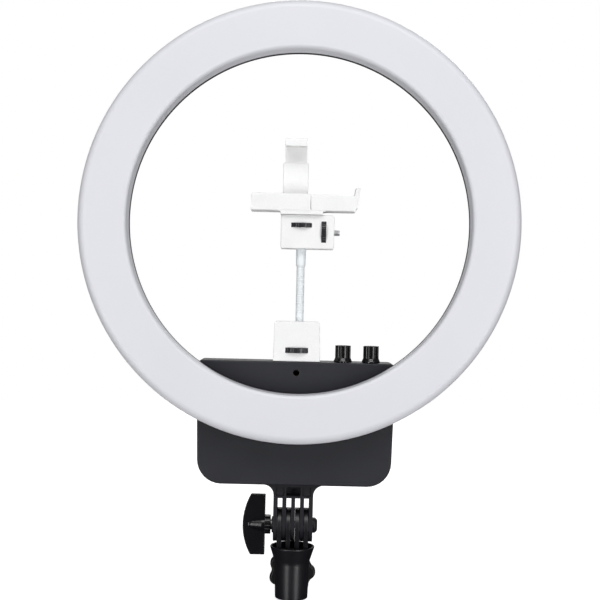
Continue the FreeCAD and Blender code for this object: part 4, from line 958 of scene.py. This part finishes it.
# The ferrule is a plain turned sleeve, pressed on the hose and pinned in the head block.
head_low, head_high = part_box("head_block")
sleeve = [
    (0, NECK_TOP_Z - 2 * MM, 0), (4.9 * MM, NECK_TOP_Z - 2 * MM, 0.5 * MM), (5.2 * MM, head_low.z, 0),
    (3.5 * MM, head_low.z, 0), (3.5 * MM, head_low.z + 15 * MM, 0.5 * MM), (0, head_low.z + 15 * MM, 0),
]
mesh = turned(sleeve, neck_axis, Z_AXIS, X_AXIS, 48)
piece("neck_ferrule", mesh, neck_white, "holder_head", "neck_white", "neck_tip")

# ---- head block and its wheels --------------------------------------------------------
# White ABS block on top of the neck. One captive wheel lies flat and turns the stud that holds
# the phone clamp, and the other stands upright and turns a short stud for an accessory.
head_outline = [
    (head_low.x, head_low.z, 2 * MM), (head_high.x, head_low.z, 2 * MM),
    (head_high.x, head_high.z, 3 * MM), (head_low.x, head_high.z, 2 * MM),
]
mesh = pushed(head_outline, facing(head_low.y), (0, head_high.y - head_low.y, 0))
rounded(mesh, 1.2 * MM, 4, 60, flat_at(head_low.y))
rounded(mesh, 1.2 * MM, 4, 60, flat_at(head_high.y))
swivel_at = (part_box("swivel_wheel")[0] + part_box("swivel_wheel")[1]) / 2
side_at = (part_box("side_wheel")[0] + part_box("side_wheel")[1]) / 2
for cut in (
    rod(16.1 * MM, swivel_at - 2.45 * MM * Z_AXIS, 4.9 * MM * Z_AXIS, 96),
    rod(16.3 * MM, side_at - 2.6 * MM * X_AXIS, 5.2 * MM * X_AXIS, 96),
    rod(3.5 * MM, (NECK_X, HOLDER_Y, 391 * MM), (0, 0, 20 * MM)),
    rod(3.5 * MM, (26 * MM, HOLDER_Y, side_at.z), (20 * MM, 0, 0)),
    rod(3.5 * MM, (NECK_X, HOLDER_Y, head_low.z - 1 * MM), (0, 0, 16.2 * MM)),
):
    mesh = carved(mesh, cut)
piece("head_body", mesh, holder_white, "holder_head", "holder_white", "head_block")
thumb_wheel("swivel_thumb_wheel", "swivel_wheel", 15.8 * MM, 4.5 * MM, Z_AXIS, 3.175 * MM, "swivel_wheel")
thumb_wheel("side_thumb_wheel", "side_wheel", 16 * MM, 4.8 * MM, X_AXIS, 3.0 * MM, "side_wheel")
refined("swivel_wheel_stud", "swivel_stud", 0.25 * MM, steel, "swivel_wheel", "steel")

low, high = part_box("side_stud")
THREAD_PITCH, THREAD_DEEP = 1.27 * MM, 0.42 * MM
bare = head_high.x - low.x
threaded = [(0, 0, 0), (3 * MM, 0, 0), (3 * MM, bare, 0)]
for i in range(int((high.x - head_high.x) / THREAD_PITCH)):
    start = bare + i * THREAD_PITCH
    threaded.append((3.175 * MM, start + 0.3 * THREAD_PITCH, 0))
    threaded.append((3.175 * MM, start + 0.45 * THREAD_PITCH, 0))
    threaded.append((3.175 * MM - THREAD_DEEP, start + 0.85 * THREAD_PITCH, 0))
threaded += [(2.6 * MM, high.x - low.x, 0), (0, high.x - low.x, 0)]
mesh = turned(threaded, Vector((low.x, HOLDER_Y, side_at.z)), X_AXIS, Z_AXIS, 40)
piece("accessory_stud", mesh, steel, "side_wheel", "steel", "side_stud")

# ---- phone clamp, housing -------------------------------------------------------------
# Left half of the clamp in smooth white ABS: the ledge that a phone stands on, the foot over the
# stud, and the sleeve in which the sprung top jaw slides. A soft pad is glued on the ledge.
BAR_FOOT, BAR_TOP, LEDGE, LEDGE_LIP = 404.6 * MM, 422.6 * MM, 418.1 * MM, 3 * MM
COLUMN_X, SLEEVE_HALF, JAW_HALF = -5 * MM, 13.2 * MM, 11.4 * MM
CLAMP_FRONT = -22 * MM
low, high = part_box("clamp_housing")


def ledge_profile(foot, top, back):
    """The ledge's section: an L whose lip stands up at the front."""
    lip = CLAMP_FRONT + LEDGE_LIP
    return [
        (CLAMP_FRONT, foot, 1.5 * MM), (back, foot, 1 * MM), (back, LEDGE, 0.8 * MM),
        (lip, LEDGE, 0.8 * MM), (lip, top, 0.8 * MM), (CLAMP_FRONT, top, 1 * MM),
    ]


def upright_face(edge):
    """Picks the edges that don't run across from side to side."""
    return abs(edge.verts[0].co.x - edge.verts[1].co.x) < 1 * MM


mesh = pushed(ledge_profile(BAR_FOOT, BAR_TOP, 6 * MM), sideways(low.x), (11.1 * MM - low.x, 0, 0))
rounded(mesh, 0.5 * MM, 3, 60, upright_face)
foot_outline = [
    (-19.9 * MM, low.z, 0.4 * MM), (24.1 * MM, low.z, 0.4 * MM), (24.1 * MM, BAR_FOOT, 1.5 * MM),
    (27 * MM, BAR_FOOT, 0), (27 * MM, BAR_FOOT + 1 * MM, 0), (-23 * MM, BAR_FOOT + 1 * MM, 0),
    (-23 * MM, BAR_FOOT, 0), (-19.9 * MM, BAR_FOOT, 1.5 * MM),
]
foot = pushed(foot_outline, facing(CLAMP_FRONT + 0.3 * MM), (0, 26 * MM, 0))
mesh = carved(mesh, foot, "UNION")
sleeve_block = block((COLUMN_X - SLEEVE_HALF, -2 * MM, BAR_FOOT), (COLUMN_X + SLEEVE_HALF, 6 * MM, high.z))
rounded(sleeve_block, 1.0 * MM, 4, 60)
mesh = carved(mesh, sleeve_block, "UNION")
slot_half = JAW_HALF + 0.2 * MM
slot_low = (COLUMN_X - slot_half, -0.3 * MM, 405.6 * MM)
mesh = carved(mesh, block(slot_low, (COLUMN_X + slot_half, 4.3 * MM, high.z + 1 * MM)))
mesh = carved(mesh, block((-36 * MM, -19.2 * MM, 407 * MM), (11 * MM, -11.8 * MM, 416.2 * MM)))
mesh = carved(mesh, rod(BUSH_R, (NECK_X, HOLDER_Y, 399 * MM), (0, 0, 11.8 * MM)))
piece("clamp_body", mesh, holder_white, "phone_clamp", "holder_white", "clamp_housing")
clad(steel, "jaw_spring")

silicone = moulded("white_silicone", (0.80, 0.80, 0.77), 0.6, 0.8 * MM, 0.04 * MM)
refined("ledge_strip", "ledge_pad", 0.3 * MM, silicone, "phone_clamp", "pad_white")

# ---- phone clamp, side arm ------------------------------------------------------------
# Right half of the ledge, in the same white ABS. It pulls out sideways on a flat tongue and ends
# in an upright lip that leans outwards and holds a wide phone's edge.
low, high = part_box("side_arm")
ARM_LOW_X, ARM_HIGH_X = 11.5 * MM, 56.5 * MM
ARM_FOOT, ARM_TOP = BAR_FOOT + 0.3 * MM, BAR_TOP - 0.8 * MM
arm_profile = ledge_profile(ARM_FOOT, ARM_TOP, 4 * MM)
mesh = pushed(arm_profile, sideways(ARM_LOW_X), (ARM_HIGH_X - ARM_LOW_X, 0, 0))
rounded(mesh, 0.4 * MM, 2, 60, upright_face)
lip_outline = [
    (54.6 * MM, low.z, 0), (57.6 * MM, low.z, 0.5 * MM),
    (58.4 * MM, 408.3 * MM, 0.5 * MM), (59.8 * MM, 408.3 * MM, 0.5 * MM),
    (high.x, high.z, 0.7 * MM), (58 * MM, high.z, 0.7 * MM), (56 * MM, LEDGE, 0.5 * MM),
]
lip_front, lip_back = CLAMP_FRONT + 0.1 * MM, 3.9 * MM
lip = pushed(lip_outline, facing(lip_front), (0, lip_back - lip_front, 0))
rounded(lip, 0.6 * MM, 3, 60, flat_at(lip_front))
rounded(lip, 0.6 * MM, 3, 60, flat_at(lip_back))
mesh = carved(mesh, lip, "UNION")
tongue = block((-15 * MM, -19 * MM, 407.2 * MM), (12.5 * MM, -12 * MM, 416 * MM))
mesh = carved(mesh, rounded(tongue, 0.5 * MM, 2, 60), "UNION")
piece("pull_out_arm", mesh, holder_white, "side_arm", "holder_white", "side_arm")

# ---- phone clamp, top jaw -------------------------------------------------------------
# The sprung upper jaw: a white ABS plate, forked round its spring, with a hooked lip on top and a
# soft pad under it. It lifts out of the sleeve and pulls back down on the phone.
low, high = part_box("top_jaw")
LIP_FOOT = high.z - 5.4 * MM
hook = [
    (-0.1 * MM, low.z, 0), (4.1 * MM, low.z, 0), (4.1 * MM, high.z, 2 * MM), (low.y, high.z, 1.6 * MM),
    (low.y, LIP_FOOT - 2.8 * MM, 0.8 * MM), (low.y + 3 * MM, LIP_FOOT - 2.8 * MM, 0.8 * MM),
    (low.y + 3 * MM, LIP_FOOT, 0.5 * MM), (-0.1 * MM, LIP_FOOT, 2 * MM),
]
mesh = pushed(hook, sideways(COLUMN_X - JAW_HALF), (2 * JAW_HALF, 0, 0))
rounded(mesh, 0.5 * MM, 3, 60, upright_face)
mesh = carved(mesh, block((COLUMN_X - 3 * MM, -1 * MM, 405.5 * MM), (COLUMN_X + 3 * MM, 5 * MM, 452.2 * MM)))
piece("sprung_jaw", mesh, holder_white, "top_jaw", "holder_white", "top_jaw")
refined("jaw_strip", "jaw_pad", 0.3 * MM, silicone, "top_jaw", "pad_white")
